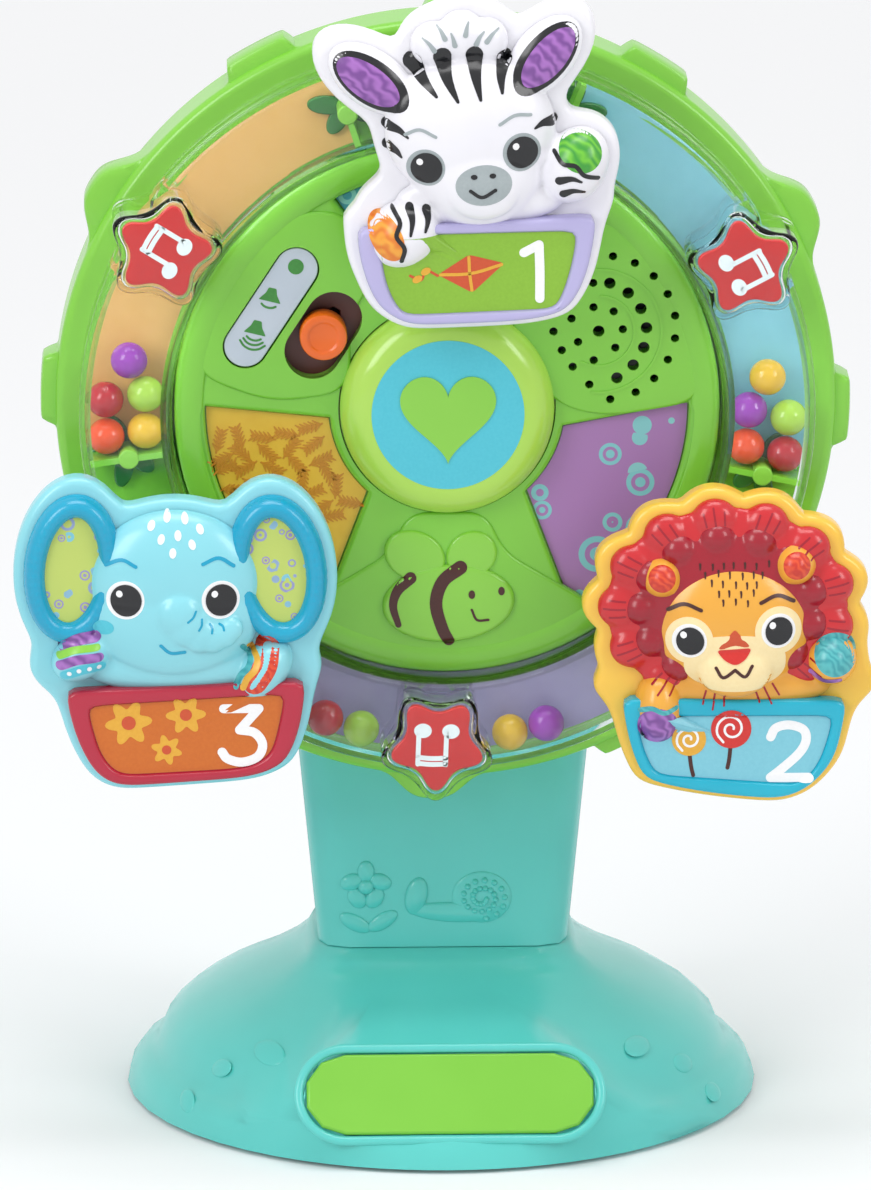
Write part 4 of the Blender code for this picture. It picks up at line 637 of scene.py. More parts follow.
def stroke(owner, path, width, material, lift=0.14, end_width=None, steps=6):
    """A line with round ends, whose width may change along it."""
    points = curve_through(path, steps)
    end_width = width if end_width is None else end_width
    cap_steps = [math.sin(math.radians(a)) for a in (20, 40, 62, 84)]
    rows = []
    for i, point in enumerate(points):
        along = (points[min(i + 1, len(points) - 1)] - points[max(i - 1, 0)]).normalized()
        half = (width + (end_width - width) * i / (len(points) - 1)) / 2
        across = Vector((-along.y, along.x))
        caps = [0.0]
        if i == 0:
            caps = [-step for step in reversed(cap_steps)] + [0.0]
        elif i == len(points) - 1:
            caps = [0.0] + cap_steps
        for cap in caps:
            middle_point, reach = point + along * half * cap, half * math.sqrt(1 - cap * cap)
            rows.append([tuple(middle_point + across * reach * s) for s in (-1.0, -0.4, 0.4, 1.0)])
    film(owner, rows, False, material, lift)


def press_prints(owner, body):
    """Turns the films of an owner into pieces."""
    for (name, ink_name), bm in [item for item in films.items() if item[0][0] == owner]:
        finished(bm, name + "_" + ink_name, bpy.data.materials[ink_name], body, 40.0)
        del films[(name, ink_name)]


print("print tools ready")

# %% [markdown]
# ## Patterned inks
# Ears, pads, paws and cuffs carry small all-over patterns: a marbled one from a distorted wave, and a
# spotted one from the cells of a Voronoi texture, whose distance gives dots with a ring round them.


# %% Patterned inks
def marbled(name, first, second, stripe):
    """Two colours that flow into one another. Stripe is a band's width in millimetres."""
    made, tree, shader = new_material(name, Roughness=0.26, IOR=1.5)
    place = add_node(tree, "ShaderNodeTexCoord").outputs["Object"]
    wave = add_node(
        tree,
        "ShaderNodeTexWave",
        {"Vector": place, "Scale": 0.3 / (stripe * MM), "Distortion": 7.0, "Detail": 1.0, "Detail Scale": 1.6},
        bands_direction="DIAGONAL",
    )
    bands = {0: wave.outputs["Fac"], 6: colour(first), 7: colour(second)}
    tint = add_node(tree, "ShaderNodeMix", bands, data_type="RGBA")
    tree.links.new(tint.outputs[2], shader.inputs["Base Color"])
    return made


def spotted(name, ground, first, second, cell, roughness=0.3):
    """Dots with rings in two colours. Cell is the spacing in millimetres."""
    made, tree, shader = new_material(name, Roughness=roughness, IOR=1.5)
    place = add_node(tree, "ShaderNodeTexCoord").outputs["Object"]
    flat = add_node(tree, "ShaderNodeVectorMath", {0: place, 1: (1.0, 0.0, 1.0)}, operation="MULTIPLY")
    cells = add_node(
        tree, "ShaderNodeTexVoronoi", {"Vector": flat.outputs[0], "Scale": 1 / (cell * MM), "Randomness": 0.72}
    )
    split = add_node(tree, "ShaderNodeSeparateColor", {"Color": cells.outputs["Color"]})
    size = add_node(tree, "ShaderNodeMapRange", {"Value": split.outputs[0], "To Min": 0.6, "To Max": 1.5})
    reach = add_node(tree, "ShaderNodeMath", {0: cells.outputs["Distance"], 1: size.outputs[0]}, operation="MULTIPLY")
    bands = add_node(tree, "ShaderNodeValToRGB", {"Fac": reach.outputs[0]})
    bands.color_ramp.interpolation = "CONSTANT"
    stops = bands.color_ramp.elements
    stops[0].position, stops[0].color = 0.0, (1, 1, 1, 1)
    stops[1].position, stops[1].color = 0.14, (0, 0, 0, 1)
    ring_start, ring_end = stops.new(0.24), stops.new(0.36)
    ring_start.color, ring_end.color = (1, 1, 1, 1), (0, 0, 0, 1)
    inks = {0: split.outputs[1], 6: colour(first), 7: colour(second)}
    mark = add_node(tree, "ShaderNodeMix", inks, data_type="RGBA")
    print_over = {0: bands.outputs["Color"], 6: colour(ground), 7: mark.outputs[2]}
    tint = add_node(tree, "ShaderNodeMix", print_over, data_type="RGBA")
    tree.links.new(tint.outputs[2], shader.inputs["Base Color"])
    return made


purple_marble = marbled("purple_marbled_ink", "A86FC0", "7B4A96", 1.7)
green_marble = marbled("green_marbled_ink", "6FC23A", "3E9A38", 1.9)
amber_marble = marbled("amber_marbled_ink", "F2A63A", "E27C28", 1.9)
teal_marble = marbled("teal_marbled_ink", "58B9BC", "3F9FA8", 1.3)
red_marble = marbled("red_marbled_ink", "E2512F", "C93426", 1.2)
lime_spots = spotted("lime_spotted_ink", "BFD068", "9B8CC0", "7FC7D6", 3.1)
print("patterned inks:", len([m for m in bpy.data.materials if "marbled" in m.name or "spotted" in m.name]))

# %% [markdown]
# ## Plaques and tubs
# Behind each animal stands a smooth plaque: the animal's and the tub's outlines, grown by a margin and
# run together by a soft minimum. The tub in front has a raised frame round a sunk panel.

# %% Plaques and tubs
ZEBRA_SHAPES = [
    ball_shape(1.8, -4.2, 19.4, 17.0, 9.2),
    ball_shape(3.8, -14.0, 14.4, 13.0, 9.2),
    ball_shape(4.4, -17.0, 8.6, 7.0, 4.0, lift=6.2),
    ball_shape(-20.3, 7.4, 11.4, 6.6, 4.6, -36),
    ball_shape(18.4, 12.4, 11.0, 6.8, 4.6, 50),
    ball_shape(-6.4, 15.4, 5.4, 5.2, 4.6),
    ball_shape(-0.2, 17.2, 5.6, 6.0, 5.0),
    ball_shape(5.6, 16.2, 4.8, 5.2, 4.6),
    ball_shape(25.4, -12.6, 7.4, 9.2, 8.0, -28),
    ball_shape(-13.2, -28.2, 9.0, 7.6, 8.0, 35),
    ball_shape(4.0, -20.5, 19.0, 6.0, 4.2),
]
ELEPHANT_EARS = [(-19.6, 4.4, 11.0, 17.4, -6), (27.0, 4.0, 11.2, 17.4, 8)]
ELEPHANT_SHAPES = [
    ball_shape(3.6, 1.2, 19.4, 16.8, 9.4),
    ball_shape(3.4, -6.4, 19.8, 15.4, 9.4),
    ball_shape(-17.6, -16.0, 7.4, 5.4, 8.0, 32),
    ball_shape(23.8, -19.6, 8.2, 5.4, 8.0, 50),
    ball_shape(3.6, -19.0, 21.0, 6.0, 4.2),
]
TRUNK = [(4.6, -5.2, 5.6), (6.4, -7.8, 5.2), (9.0, -9.8, 4.4)]
TRUNK += [(12.0, -10.6, 3.6), (14.8, -10.0, 3.0), (16.6, -8.6, 2.6)]
ELEPHANT_SHAPES += [ball_shape(u, v, r, r, r * 0.8, lift=7.6) for u, v, r in TRUNK]
LION_SHAPES = [
    ball_shape(0.4, -5.0, 18.4, 16.2, 9.5),
    ball_shape(0.8, -14.6, 8.6, 6.6, 4.2, lift=6.4),
    ball_shape(-15.6, 6.2, 5.0, 5.0, 8.0),
    ball_shape(14.6, 9.0, 5.0, 5.0, 8.0),
    ball_shape(-16.2, -24.6, 5.6, 8.4, 8.0),
    ball_shape(23.0, -13.6, 6.0, 6.0, 8.0),
    ball_shape(1.0, -20.0, 22.0, 5.4, 4.2),
]
TUBS = {
    "zebra": [
        *((-24, -26.5), (30.3, -23.8), (28.3, -38.1), (23.8, -45.8)),
        *((17.9, -47.9), (-12.8, -48.9), (-19.2, -44.8), (-23.4, -35.1)),
    ],
    "elephant": [
        *((-21.4, -23.6), (33.3, -21.6), (32.3, -33.3), (28.8, -41)),
        *((22.8, -44.1), (-10.1, -46.2), (-14.6, -43.6), (-19.6, -34.3)),
    ],
    "lion": [
        *((-24.8, -21.8), (26.6, -22.6), (24.2, -36.4), (18.2, -43.6)),
        *((12.3, -46.1), (-9.3, -44.1), (-19.7, -41), (-23.1, -33.9)),
    ],
}
PANELS = {
    "zebra": [(-19, -28), (26.1, -27.1), (24.8, -37.6), (21.4, -45.3), (-13.8, -46.6), (-17.7, -40.2)],
    "elephant": [(-16.6, -27.1), (28.8, -24.5), (25.8, -39), (21.3, -42.1), (-9.6, -43.6), (-13.6, -39.5)],
    "lion": [(-21.2, -26), (23.7, -26.2), (20.7, -38), (16.3, -42.6), (-17.2, -40), (-21.2, -31.4)],
}
MANE_MIDDLE, MANE_SQUASH, MANE_LOBES, MANE_REACH = (-0.7, -1.0), 0.836, 13, 29.3
PLAQUE_MARGIN, PLAQUE_SOFTNESS = 2.2, 1.6
TUB_TOP, PANEL_FLOOR = 70.8, 69.7


def oval_gap(u, v, shape):
    """About how far a point lies outside a dome's oval."""
    mid_u, mid_v, half_u, half_v, _, tilt, _ = shape
    cos, sin = math.cos(math.radians(tilt)), math.sin(math.radians(tilt))
    along, across = (u - mid_u) * cos + (v - mid_v) * sin, (v - mid_v) * cos - (u - mid_u) * sin
    return (math.hypot(along / half_u, across / half_v) - 1) * min(half_u, half_v)


def polygon_gap(u, v, corners, soft=1.1):
    """About how far a point lies outside a convex polygon with softened corners, given clockwise."""
    gaps = []
    for (au, av), (bu, bv) in zip(corners, corners[1:] + corners[:1]):
        length = math.hypot(bu - au, bv - av)
        gaps.append(((u - au) * (av - bv) + (v - av) * (bu - au)) / length)
    most = max(gaps)
    return most + soft * math.log(sum(math.exp((gap - most) / soft) for gap in gaps))


def mane_gap(u, v):
    """About how far a point lies outside the mane's wavy outline."""
    du, dv = u - MANE_MIDDLE[0], (v - MANE_MIDDLE[1]) / MANE_SQUASH
    lobe = abs(math.sin(MANE_LOBES * math.atan2(dv, du) / 2)) * 2.8 - 1.4
    return math.hypot(du, dv) - MANE_REACH - lobe


def dressed(node, sections, material):
    """A loft in a gondola's own frame, which stands for a frame piece."""
    made = finished(lofted(node.split("_")[0], sections), node + "_skin", material, body_of(node), 40.0)
    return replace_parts(made, node)


def plaque(owner, shapes, material, extra=None):
    """The plate behind an animal. Domes that stand far forward don't widen it."""
    def gap(u, v):
        gaps = [oval_gap(u, v, shape) for shape in shapes if shape[6] < 1.0] + [polygon_gap(u, v, TUBS[owner])]
        if extra:
            gaps.append(extra(u, v))
        least = min(gaps)
        blend = math.log(sum(math.exp((least - g) / PLAQUE_SOFTNESS) for g in gaps))
        return least - PLAQUE_SOFTNESS * blend - PLAQUE_MARGIN

    outline = traced(gap, 3.0, -12.0, 200)
    back = [(offset(outline, -0.8), PLAQUE_REAR), (outline, PLAQUE_REAR + 0.8)]
    return dressed(owner + "_plaque", back + round_over(outline, PLAQUE_FRONT, 1.8), material)


def tub_outline(corners, grow=0.0):
    """A tub's or a panel's outline with soft corners, grown by a margin."""
    return traced(lambda u, v: polygon_gap(u, v, corners) - grow, 4.0, -35.5, 120)


def tub(owner, frame_material):
    """A frame with a round brow and a sunk panel."""
    outer = tub_outline(TUBS[owner])
    sections = [(outer, FIGURE_REAR)] + round_over(outer, TUB_TOP, 1.0)
    for grow, depth in ((0.7, TUB_TOP), (0.35, TUB_TOP - 0.12), (0.1, TUB_TOP - 0.5), (0.0, PANEL_FLOOR)):
        sections.append((tub_outline(PANELS[owner], grow), depth))
    return dressed(owner + "_basket", sections, frame_material)


tubs = {owner: tub(owner, coat) for owner, coat in (("zebra", lavender), ("elephant", crimson), ("lion", cyan))}
ears = [ball_shape(u, v, half_u, half_v, 4.6, tilt) for u, v, half_u, half_v, tilt in ELEPHANT_EARS]
plaques = {
    "zebra": plaque("zebra", ZEBRA_SHAPES, white),
    "elephant": plaque("elephant", ELEPHANT_SHAPES + ears, aqua),
    "lion": plaque("lion", LION_SHAPES, yellow, mane_gap),
}
print("plaque corners:", [len(piece.data.vertices) for piece in plaques.values()])

# %% [markdown]
# ## The hub
# The cover is turned on a lathe profile, then cut: windows for the three labels, the slide's slot, a
# shallow bed for its plate, and the speaker's holes. The window edges get a wide round, as the raised
# fields of the real moulding have, and the small holes stay crisp.

# %% Turning and carving
COVER_BACK, COVER_FACE, SKIRT_BACK, SKIRT_WALL = 38.6, 42.6, 33.2, 2.2
WINDOW_INNER, WINDOW_OUTER, WINDOW_BED = 26.8, 55.2, 39.8
HUB_BODY = body_of("hub_cover")


def turned(profile, u=0.0, v=0.0, steps=144, closed=True):
    """A body turned about a front-to-back axis. The profile is (radius, depth forward)."""
    bm = bmesh.new()
    x, z = at("hub", u, v)
    verts = [bm.verts.new((x + r * MM, -depth * MM, z)) for r, depth in profile]
    pairs = list(zip(verts, verts[1:])) + ([(verts[-1], verts[0])] if closed else [])
    edges = [bm.edges.new(pair) for pair in pairs]
    bmesh.ops.spin(
        bm, geom=verts + edges, cent=(x, 0.0, z), axis=(0.0, 1.0, 0.0), angle=math.tau, steps=steps, use_merge=True
    )
    bmesh.ops.remove_doubles(bm, verts=bm.verts, dist=1e-6)
    bmesh.ops.recalc_face_normals(bm, faces=bm.faces)
    return bm


def carved(bm, shapes, operation="DIFFERENCE"):
    """One body joined with, or less, others."""
    objects = []
    for shape in (bm, *shapes):
        bmesh.ops.recalc_face_normals(shape, faces=shape.faces)
        objects.append(as_object(shape, "carving"))
    for tool in objects[1:]:
        step = objects[0].modifiers.new("step", "BOOLEAN")
        step.operation, step.solver, step.object = operation, "EXACT", tool
    result = applied(*objects)
    bmesh.ops.dissolve_limit(result, angle_limit=math.radians(0.3), verts=result.verts, edges=result.edges)
    return result


def joined(shapes):
    """Several bodies that don't touch, as one bmesh."""
    whole = bmesh.new()
    for shape in shapes:
        pour(shape, whole)
    return whole


def slab(outline, back, front, round_off=0.0):
    """An outline on the hub's axis, given a thickness and, where asked, a rounded front edge."""
    front_sections = round_over(outline, front, round_off) if round_off else [(outline, front)]
    return lofted("hub", [(outline, back)] + front_sections)


def arc(radius, start, end, steps):
    """Points of an arc round the hub."""
    return [(radius * math.cos(a), radius * math.sin(a)) for a in turns(start, end, steps)]


def window(inner_start, inner_end, outer_start, outer_end, shrink=0.0):
    """A field between two arcs round the hub, whose corners are cut by a degree or two."""
    inner, outer = WINDOW_INNER + shrink, WINDOW_OUTER - shrink
    inner_cut, outer_cut = math.degrees(shrink / inner) + 2.0, math.degrees(shrink / outer) + 1.4
    far = arc(outer, outer_start + outer_cut, outer_end - outer_cut, 40)
    return far + arc(inner, inner_end - inner_cut, inner_start + inner_cut, 24)


def stadium(length, width, angle, u, v, steps=20):
    """A round-ended outline, turned and placed."""
    reach, radius = (length - width) / 2, width / 2
    cos, sin = math.cos(math.radians(angle)), math.sin(math.radians(angle))
    points = []
    for side, start in ((1, -90), (-1, 90)):
        for a in turns(start, start + 180, steps):
            points.append((side * reach + radius * math.cos(a), radius * math.sin(a)))
    return [(u + a * cos - b * sin, v + a * sin + b * cos) for a, b in points]


WINDOWS = {
    "gold_label": (183.0, 230.0, 178.0, 240.5),
    "purple_label": (310.0, 352.0, 299.5, 362.0),
    "teal_label": (68.0, 112.0, 61.0, 119.0),
}
GRILLE = (34.5, 17.9)
HOLES = {
    1.33: [(0, 0), (10.9, 0.7), (10.3, -3.9), (9.6, 5.2), (6.7, 8.9), (7.9, -8), (2.5, 11.2), (4.2, -11)],
    0.97: [
        *((5.5, 0.4), (3.4, 4.6), (-1.2, 5.6), (3.8, -3.9), (-1.1, -6.8), (-4.7, -2.5), (-6.2, 3), (-5.9, -8.3)),
        *((-2.1, -12.5), (-8.4, -4.4), (-10.3, 0), (-1.3, 11.3), (17.4, -1.8), (17.4, 3.5), (15.8, -6.8)),
        *((15.7, 8.6), (12.7, -11.2), (12.5, 12.8), (8.5, -14.4), (8.2, 15.9), (2.7, -16), (3.2, 17.5)),
    ],
}
SLOT = (21.8, 12.9, 57.0, -28.2, 17.4)
PLATE_BED = (31.8, 10.4, 57.0, -40.1, 23.9)
THROUGH = (30.0, 60.0)
print("grille holes:", sum(len(places) for places in HOLES.values()))

# %% Hub cover
BUTTON_HOLE, RIM_INNER, RIM_HALF, RIM_RISE = 24.8, 55.6, 3.3, 1.1
BROW, FIELD_REACH, FIELD_RISE = 1.2, 57.5, 0.8
half_turn = [math.pi * k / 12 for k in range(13)]
rim = [(RIM_INNER + RIM_HALF * (1 - math.cos(a)), COVER_FACE + RIM_RISE * math.sin(a)) for a in half_turn]
drum_radius = rim[-1][0]
skirt_inside = drum_radius - SKIRT_WALL
skirt = [(drum_radius, SKIRT_BACK), (skirt_inside, SKIRT_BACK), (skirt_inside, COVER_BACK), (BUTTON_HOLE, COVER_BACK)]
cover = turned([(BUTTON_HOLE, COVER_FACE)] + rim + skirt)
flare = [(BROW * (1 - math.cos(a)), COVER_FACE - BROW + BROW * math.sin(a)) for a in turns(0, 90, 5)]
beds = []
for spans in WINDOWS.values():
    outline = window(*spans)
    brow = [(offset(outline, out), depth) for out, depth in flare + [(BROW, THROUGH[1])]]
    beds.append(lofted("hub", [(outline, WINDOW_BED)] + brow))
cover = carved(cover, [joined(beds)])


def opened(bm):
    """The body with the grille's holes, the plate's bed and the slide's slot cut through it."""
    cuts = []
    for radius, places in HOLES.items():
        for u, v in places:
            cuts.append(slab(oval(GRILLE[0] + u, GRILLE[1] + v, radius, radius, count=24), *THROUGH))
    cuts.append(slab(stadium(*PLATE_BED), 42.0, THROUGH[1]))
    return carved(bm, [joined(cuts), slab(stadium(*SLOT), *THROUGH)])


fan = [(-13, -34), (-9, -24.5), (9, -24.5), (13, -34)] + arc(FIELD_REACH, 306, 234, 8)
slide_field = [(-40, 1.5), (-22, 4), (-22, 22), (-16, 31), (-22, 46)] + arc(FIELD_REACH, 126, 172, 6)
grille_field = [(28, 42), (13.5, 23), (17, 12), (24, 1), (36, -2.5)] + arc(FIELD_REACH, 1, 50, 6)
fields = []
for corners, radius in ((fan, 5), (slide_field, 7), (grille_field, 7)):
    fields.append(opened(slab(rounded(corners, radius, 6), 41.0, COVER_FACE + FIELD_RISE, FIELD_RISE)))
    print("field faces:", len(fields[-1].faces))
fields = finished(joined(fields), "cover_fields", green, HUB_BODY, 30.0)
cover = finished(opened(cover), "hub_cover_skin", green, HUB_BODY, 30.0)
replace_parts(cover, "hub_cover")
print("hub cover:", len(cover.data.polygons), "faces")

# %% [markdown]
# The labels under the windows: a gold one with leaf sprigs, a purple and a teal one with rings.

# %% Labels
purple_rings = spotted("purple_ring_label", "A678B4", "7FC4CC", "8AC9CE", 8.4, 0.4)
teal_rings = spotted("teal_ring_label", "3F98A6", "8ACBC4", "6FBDBE", 6.0, 0.4)
gold = ink("gold_label_ink", "EABF42", "E2B236", 0.4, 3.0)
for (name, spans), coat in zip(WINDOWS.items(), (gold, purple_rings, teal_rings)):
    sheet = slab(window(*spans, shrink=0.3), WINDOW_BED + 0.3, WINDOW_BED + 0.8)
    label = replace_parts(finished(sheet, name + "_skin", coat, HUB_BODY), name)
    if name == "gold_label":
        surface_of("hub", label, cover)
ink_old_gold = ink("old_gold_ink", "D08F2C", "C88424", 0.4)
SPRIG, SPRIG_SPACING = 5.6, 5.2
line, patch = partial(stroke, "hub"), partial(paint, "hub")
random.seed(3)
for orbit in (31.5, 37.0, 42.5, 48.0, 52.6):
    count = int(orbit / SPRIG_SPACING)
    for k in range(count):
        a = math.radians(186 + 42 * (k + 0.5) / count + random.uniform(-1.5, 1.5))
        turn = random.uniform(0, math.tau)
        along, across = Vector((math.cos(turn), math.sin(turn))), Vector((-math.sin(turn), math.cos(turn)))
        root = Vector((orbit * math.cos(a), orbit * math.sin(a))) - along * SPRIG / 2
        line([root, root + along * SPRIG / 2 + across * 0.4, root + along * SPRIG], 0.45, ink_old_gold, 0.05, steps=3)
        for m in range(5):
            for side in (-1, 1):
                base = root + along * (0.8 + m)
                tip = base + along * 1.2 + across * side * 1.3
                line([base, (base + tip) / 2, tip], 0.8, ink_old_gold, 0.11 + 0.03 * side, 0.3, steps=2)
print("label sprigs drawn")

# %% [markdown]
# The big button is a hollow, flat-topped dome of pale lens plastic with a printed sky disc and a heart.

# %% Button, knob and volume plate
lime_lens = moulded_plastic("lime_lens_plastic", "B4DE5E", "A9D850", 0.16)
leaf = moulded_plastic("heart_green_paint", "8FD24A", "84C940", 0.2)
shoulder = [(17.6 + 6.9 * math.sin(a), COVER_FACE + 6.7 * math.cos(a)) for a in turns(0, 90, 15)]
hollow = [(15.6 + 7.1 * math.cos(a), 42.0 + 5.3 * math.sin(a)) for a in turns(0, 90, 6)]
top, flange = [(0.0, 49.6), (9.0, 49.55), (17.0, 49.35)], [(24.5, 38.3), (25.7, 38.3), (25.7, 37.3), (22.7, 37.3)]
button = turned(top + shoulder + flange + hollow + [(0.0, 47.3)], closed=False)
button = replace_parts(finished(button, "heart_button_skin", lime_lens, body_of("heart_button"), 40.0), "heart_button")
surface_of("button", button)
paint("button", oval(0, 0, 17.4, 17.4, count=96), ink_sky, 0.1, rings=10)
heart = []
for k in range(96):
    t = -math.tau * k / 96
    width = 16 * math.sin(t) ** 3
    height = 13 * math.cos(t) - 5 * math.cos(2 * t) - 2 * math.cos(3 * t) - math.cos(4 * t)
    heart.append((-width * 0.684, -1.2 + (height + 2.5) * 0.71))
paint("button", heart, leaf, 0.45, rings=10)
press_prints("button", body_of("heart_button"))

knob_middle = (middle("volume_knob") - HUB) / MM
dish = [(0.0, 45.3), (3.0, 45.3), (3.3, 45.45), (3.6, 45.75), (3.95, 45.8)]
stem = [(4.8, 45.8), (5.2, 45.62), (5.4, 45.2), (5.4, 40.0), (1.4, 40.0), (1.4, 33.0), (0.0, 33.0)]
knob = turned(dish + stem, knob_middle.x, knob_middle.z, 72, closed=False)
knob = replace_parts(finished(knob, "volume_knob_skin", orange, body_of("volume_knob"), 40.0), "volume_knob")

silver = ink("silver_plate_ink", "C6CFDA", "B4BFCC", 0.32, 9.0, 0.25)
volume_plate = slab(stadium(31.2, 9.8, 57.0, -40.1, 23.9, 24), 42.1, 42.9, 0.25)
volume_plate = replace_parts(finished(volume_plate, "volume_plate_skin", silver, HUB_BODY), "volume_plate")
print("faces:", [len(piece.data.polygons) for piece in (button, knob, volume_plate)])

# %% [markdown]
# A bee in low relief sits below the button. Signs on the plate show quiet and loud. Two raised arcs
# run round the grille.

# %% Bee, signs and ridges
bee = [
    slab(oval(0.3, -45.8, 15.2, 9.2, 4, count=72), 42.0, 44.7, 1.2),
    slab(oval(-7.4, -34.6, 7.2, 5.8, -24, count=56), 42.0, 44.3, 0.9),
    slab(oval(5.6, -34.4, 6.0, 5.4, 30, count=56), 42.0, 44.3, 0.9),
]
bee = finished(joined(bee), "bee_relief", leaf, HUB_BODY, 50.0)
surface_of("hub", cover, fields, bee, volume_plate)
line([(-8.4, -39.6), (-11.4, -42.6), (-12.4, -46.2), (-11.2, -50.6)], 2.7, ink_brown, 0.12, 1.4)
line([(3.0, -37.2), (-1.0, -40.4), (-2.6, -45.6), (-1.2, -51.4), (0.4, -54.6)], 3.1, ink_brown, 0.12, 2.6)
for u, v in ((5.6, -43.6), (12.4, -42.8)):
    patch(oval(u, v, 0.75, 1.0, count=24), ink_brown, 0.14, rings=3)
line([(5.6, -47.2), (6.8, -49.6), (9.4, -49.6)], 0.55, ink_brown, 0.14)
patch(oval(-34.4, 33.4, 1.8, 1.8), ink_dark_green, 0.1, rings=3)
SIGN_LEAN = math.radians(-14)
HORN = ((-0.9, 2.3), (0.9, 2.3), (1.3, 0.9), (2.6, -0.9), (-2.6, -0.9), (-1.3, 0.9))


def sign_point(u, v, a, b):
    """A point of a sign, which leans with the plate."""
    cos, sin = math.cos(SIGN_LEAN), math.sin(SIGN_LEAN)
    return u + a * cos - b * sin, v + a * sin + b * cos


for u, v, waves in ((-40.2, 26.2, 1), (-43.6, 18.6, 3)):
    patch(rounded([sign_point(u, v, a, b) for a, b in HORN], 0.3, 3), ink_dark_green, 0.1)
    for k in range(waves):
        half, drop = 2.0 + 0.77 * k, 1.4 + 1.1 * k
        swing = [math.radians(a) for a in (-55, -28, 0, 28, 55)]
        wave = [(half * math.sin(a), -1.0 - drop * math.cos(a)) for a in swing]
        line([sign_point(u, v, a, b) for a, b in wave], 0.5, ink_dark_green, 0.1, steps=4)
for radius, start, end in ((8.2, -118, 96), (14.4, -96, 112)):
    around = [math.radians(a) for a in range(start, end, 12)]
    ridge = [(GRILLE[0] + radius * math.cos(a), GRILLE[1] + radius * math.sin(a)) for a in around]
    line(ridge, 0.6, green, 0.24, steps=4)
press_prints("hub", HUB_BODY)

# %% [markdown]
# ## The wheel
# The ring is one closed loft: every section is a circle, but for the outer ones, which swell into nine
# flat grips and three round humps behind the stars.

# %% Ring
WHEEL_BODY = body_of("wheel_ring")
RING, BORE, CLEAR = 89.2, drum_radius + 0.6, 84.0
RING_BACK, RING_WEB, RING_FRONT, RING_ROUND, RING_WALL = 22.3, 34.6, 37.0, 2.2, 2.6
HUMP_HEIGHT, HUMP_HALF, GRIP_HEIGHT, GRIP_HALF = 6.0, 8.2, 3.4, 7.9
PIVOT_SPOKES, STAR_SPOKES = (90, 210, 330), (30, 150, 270)
PIVOT_ORBIT, STAR_ORBIT, CLAMP_ORBIT, CLAMP_OFFSET = 75.0, 76.0, 73.4, 20.0
CLAMP_SPOKES = [pivot + side * CLAMP_OFFSET for pivot in PIVOT_SPOKES for side in (-1, 1)]


def spoke(orbit, degrees, outline=((0.0, 0.0),)):
    """Points given across and outward on a spoke of the turned wheel, from the hub."""
    points = []
    for across, outward in outline:
        x, z = on_wheel(orbit, degrees, across, outward)
        points.append(((x - HUB.x) / MM, (z - HUB.z) / MM))
    return points


def grip(degrees):
    """How far the grips stand out of the ring at an angle."""
    turn, tallest = (degrees + WHEEL_TURN) % 120.0, 0.0
    for place in (0.0, 30.0, 60.0, 90.0, 120.0):
        away = abs(turn - place) * math.pi / 180 * RING
        hump = HUMP_HEIGHT * math.exp(-((away / HUMP_HALF) ** 3.0))
        flat = GRIP_HEIGHT / (1 + math.exp((away - GRIP_HALF) * 3.2))
        tallest = max(tallest, hump if place == 30.0 else flat)
    return tallest


RING_STEPS = 720
ring_angles = [360 * k / RING_STEPS for k in range(RING_STEPS)]
grips = [grip(a) for a in ring_angles]
inner_wall, outer_wall, lip = BORE + RING_WALL, RING - RING_WALL, BORE - 2.8
sections = [
    (RING - RING_ROUND + RING_ROUND * math.sin(a), 0.0, RING_FRONT - RING_ROUND + RING_ROUND * math.cos(a))
    for a in turns(0, 90, 6)
]
grip_edge = ((0.72, 34.55), (0.93, 34.1), (1.0, 33.4), (1.0, 26.0), (0.93, 25.2), (0.72, 24.8), (0.0, 24.5))
sections += [(RING, swell, depth) for swell, depth in grip_edge + ((0.0, RING_BACK),)]
inside = [(outer_wall, RING_BACK), (outer_wall, RING_WEB), (inner_wall, RING_WEB), (inner_wall, RING_BACK)]
inside += [(BORE, RING_BACK), (BORE, 29.7), (lip, 29.7), (lip, 33.0), (BORE, 33.0), (BORE, RING_FRONT)]
sections += [(radius, 0.0, depth) for radius, depth in inside]
bm = bmesh.new()
loops = []
for radius, swell, depth in sections:
    loop = []
    for degrees, height in zip(ring_angles, grips):
        reach, a = (radius + swell * height) * MM, math.radians(degrees)
        loop.append(bm.verts.new((HUB.x + reach * math.cos(a), -depth * MM, HUB.z + reach * math.sin(a))))
    loops.append(loop)
bridge(bm, loops + loops[:1])
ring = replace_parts(finished(bm, "wheel_ring_skin", green, WHEEL_BODY, 35.0), "wheel_ring")
walls = []
low, high = inner_wall + 0.3, CLEAR - 2.0
half_length = (high - low) / 2
wall = [(-0.7, -half_length), (0.7, -half_length), (0.7, half_length), (-0.7, half_length)]
for degrees in CLAMP_SPOKES:
    walls.append(slab(spoke((low + high) / 2, degrees, wall), 35.8, 47.6))
for pivot in PIVOT_SPOKES:
    walls.append(slab(spoke(PIVOT_ORBIT, pivot, oval(0, 0, 6.0, 6.0, count=64)), 35.8, 57.0, 0.8))
finished(joined(walls), "wheel_walls", green, WHEEL_BODY)
print("ring faces:", len(ring.data.polygons))

# %% [markdown]
# Where the channel's cover is screwed down, a dark green leaf clamp lies under it, with a pale boss.

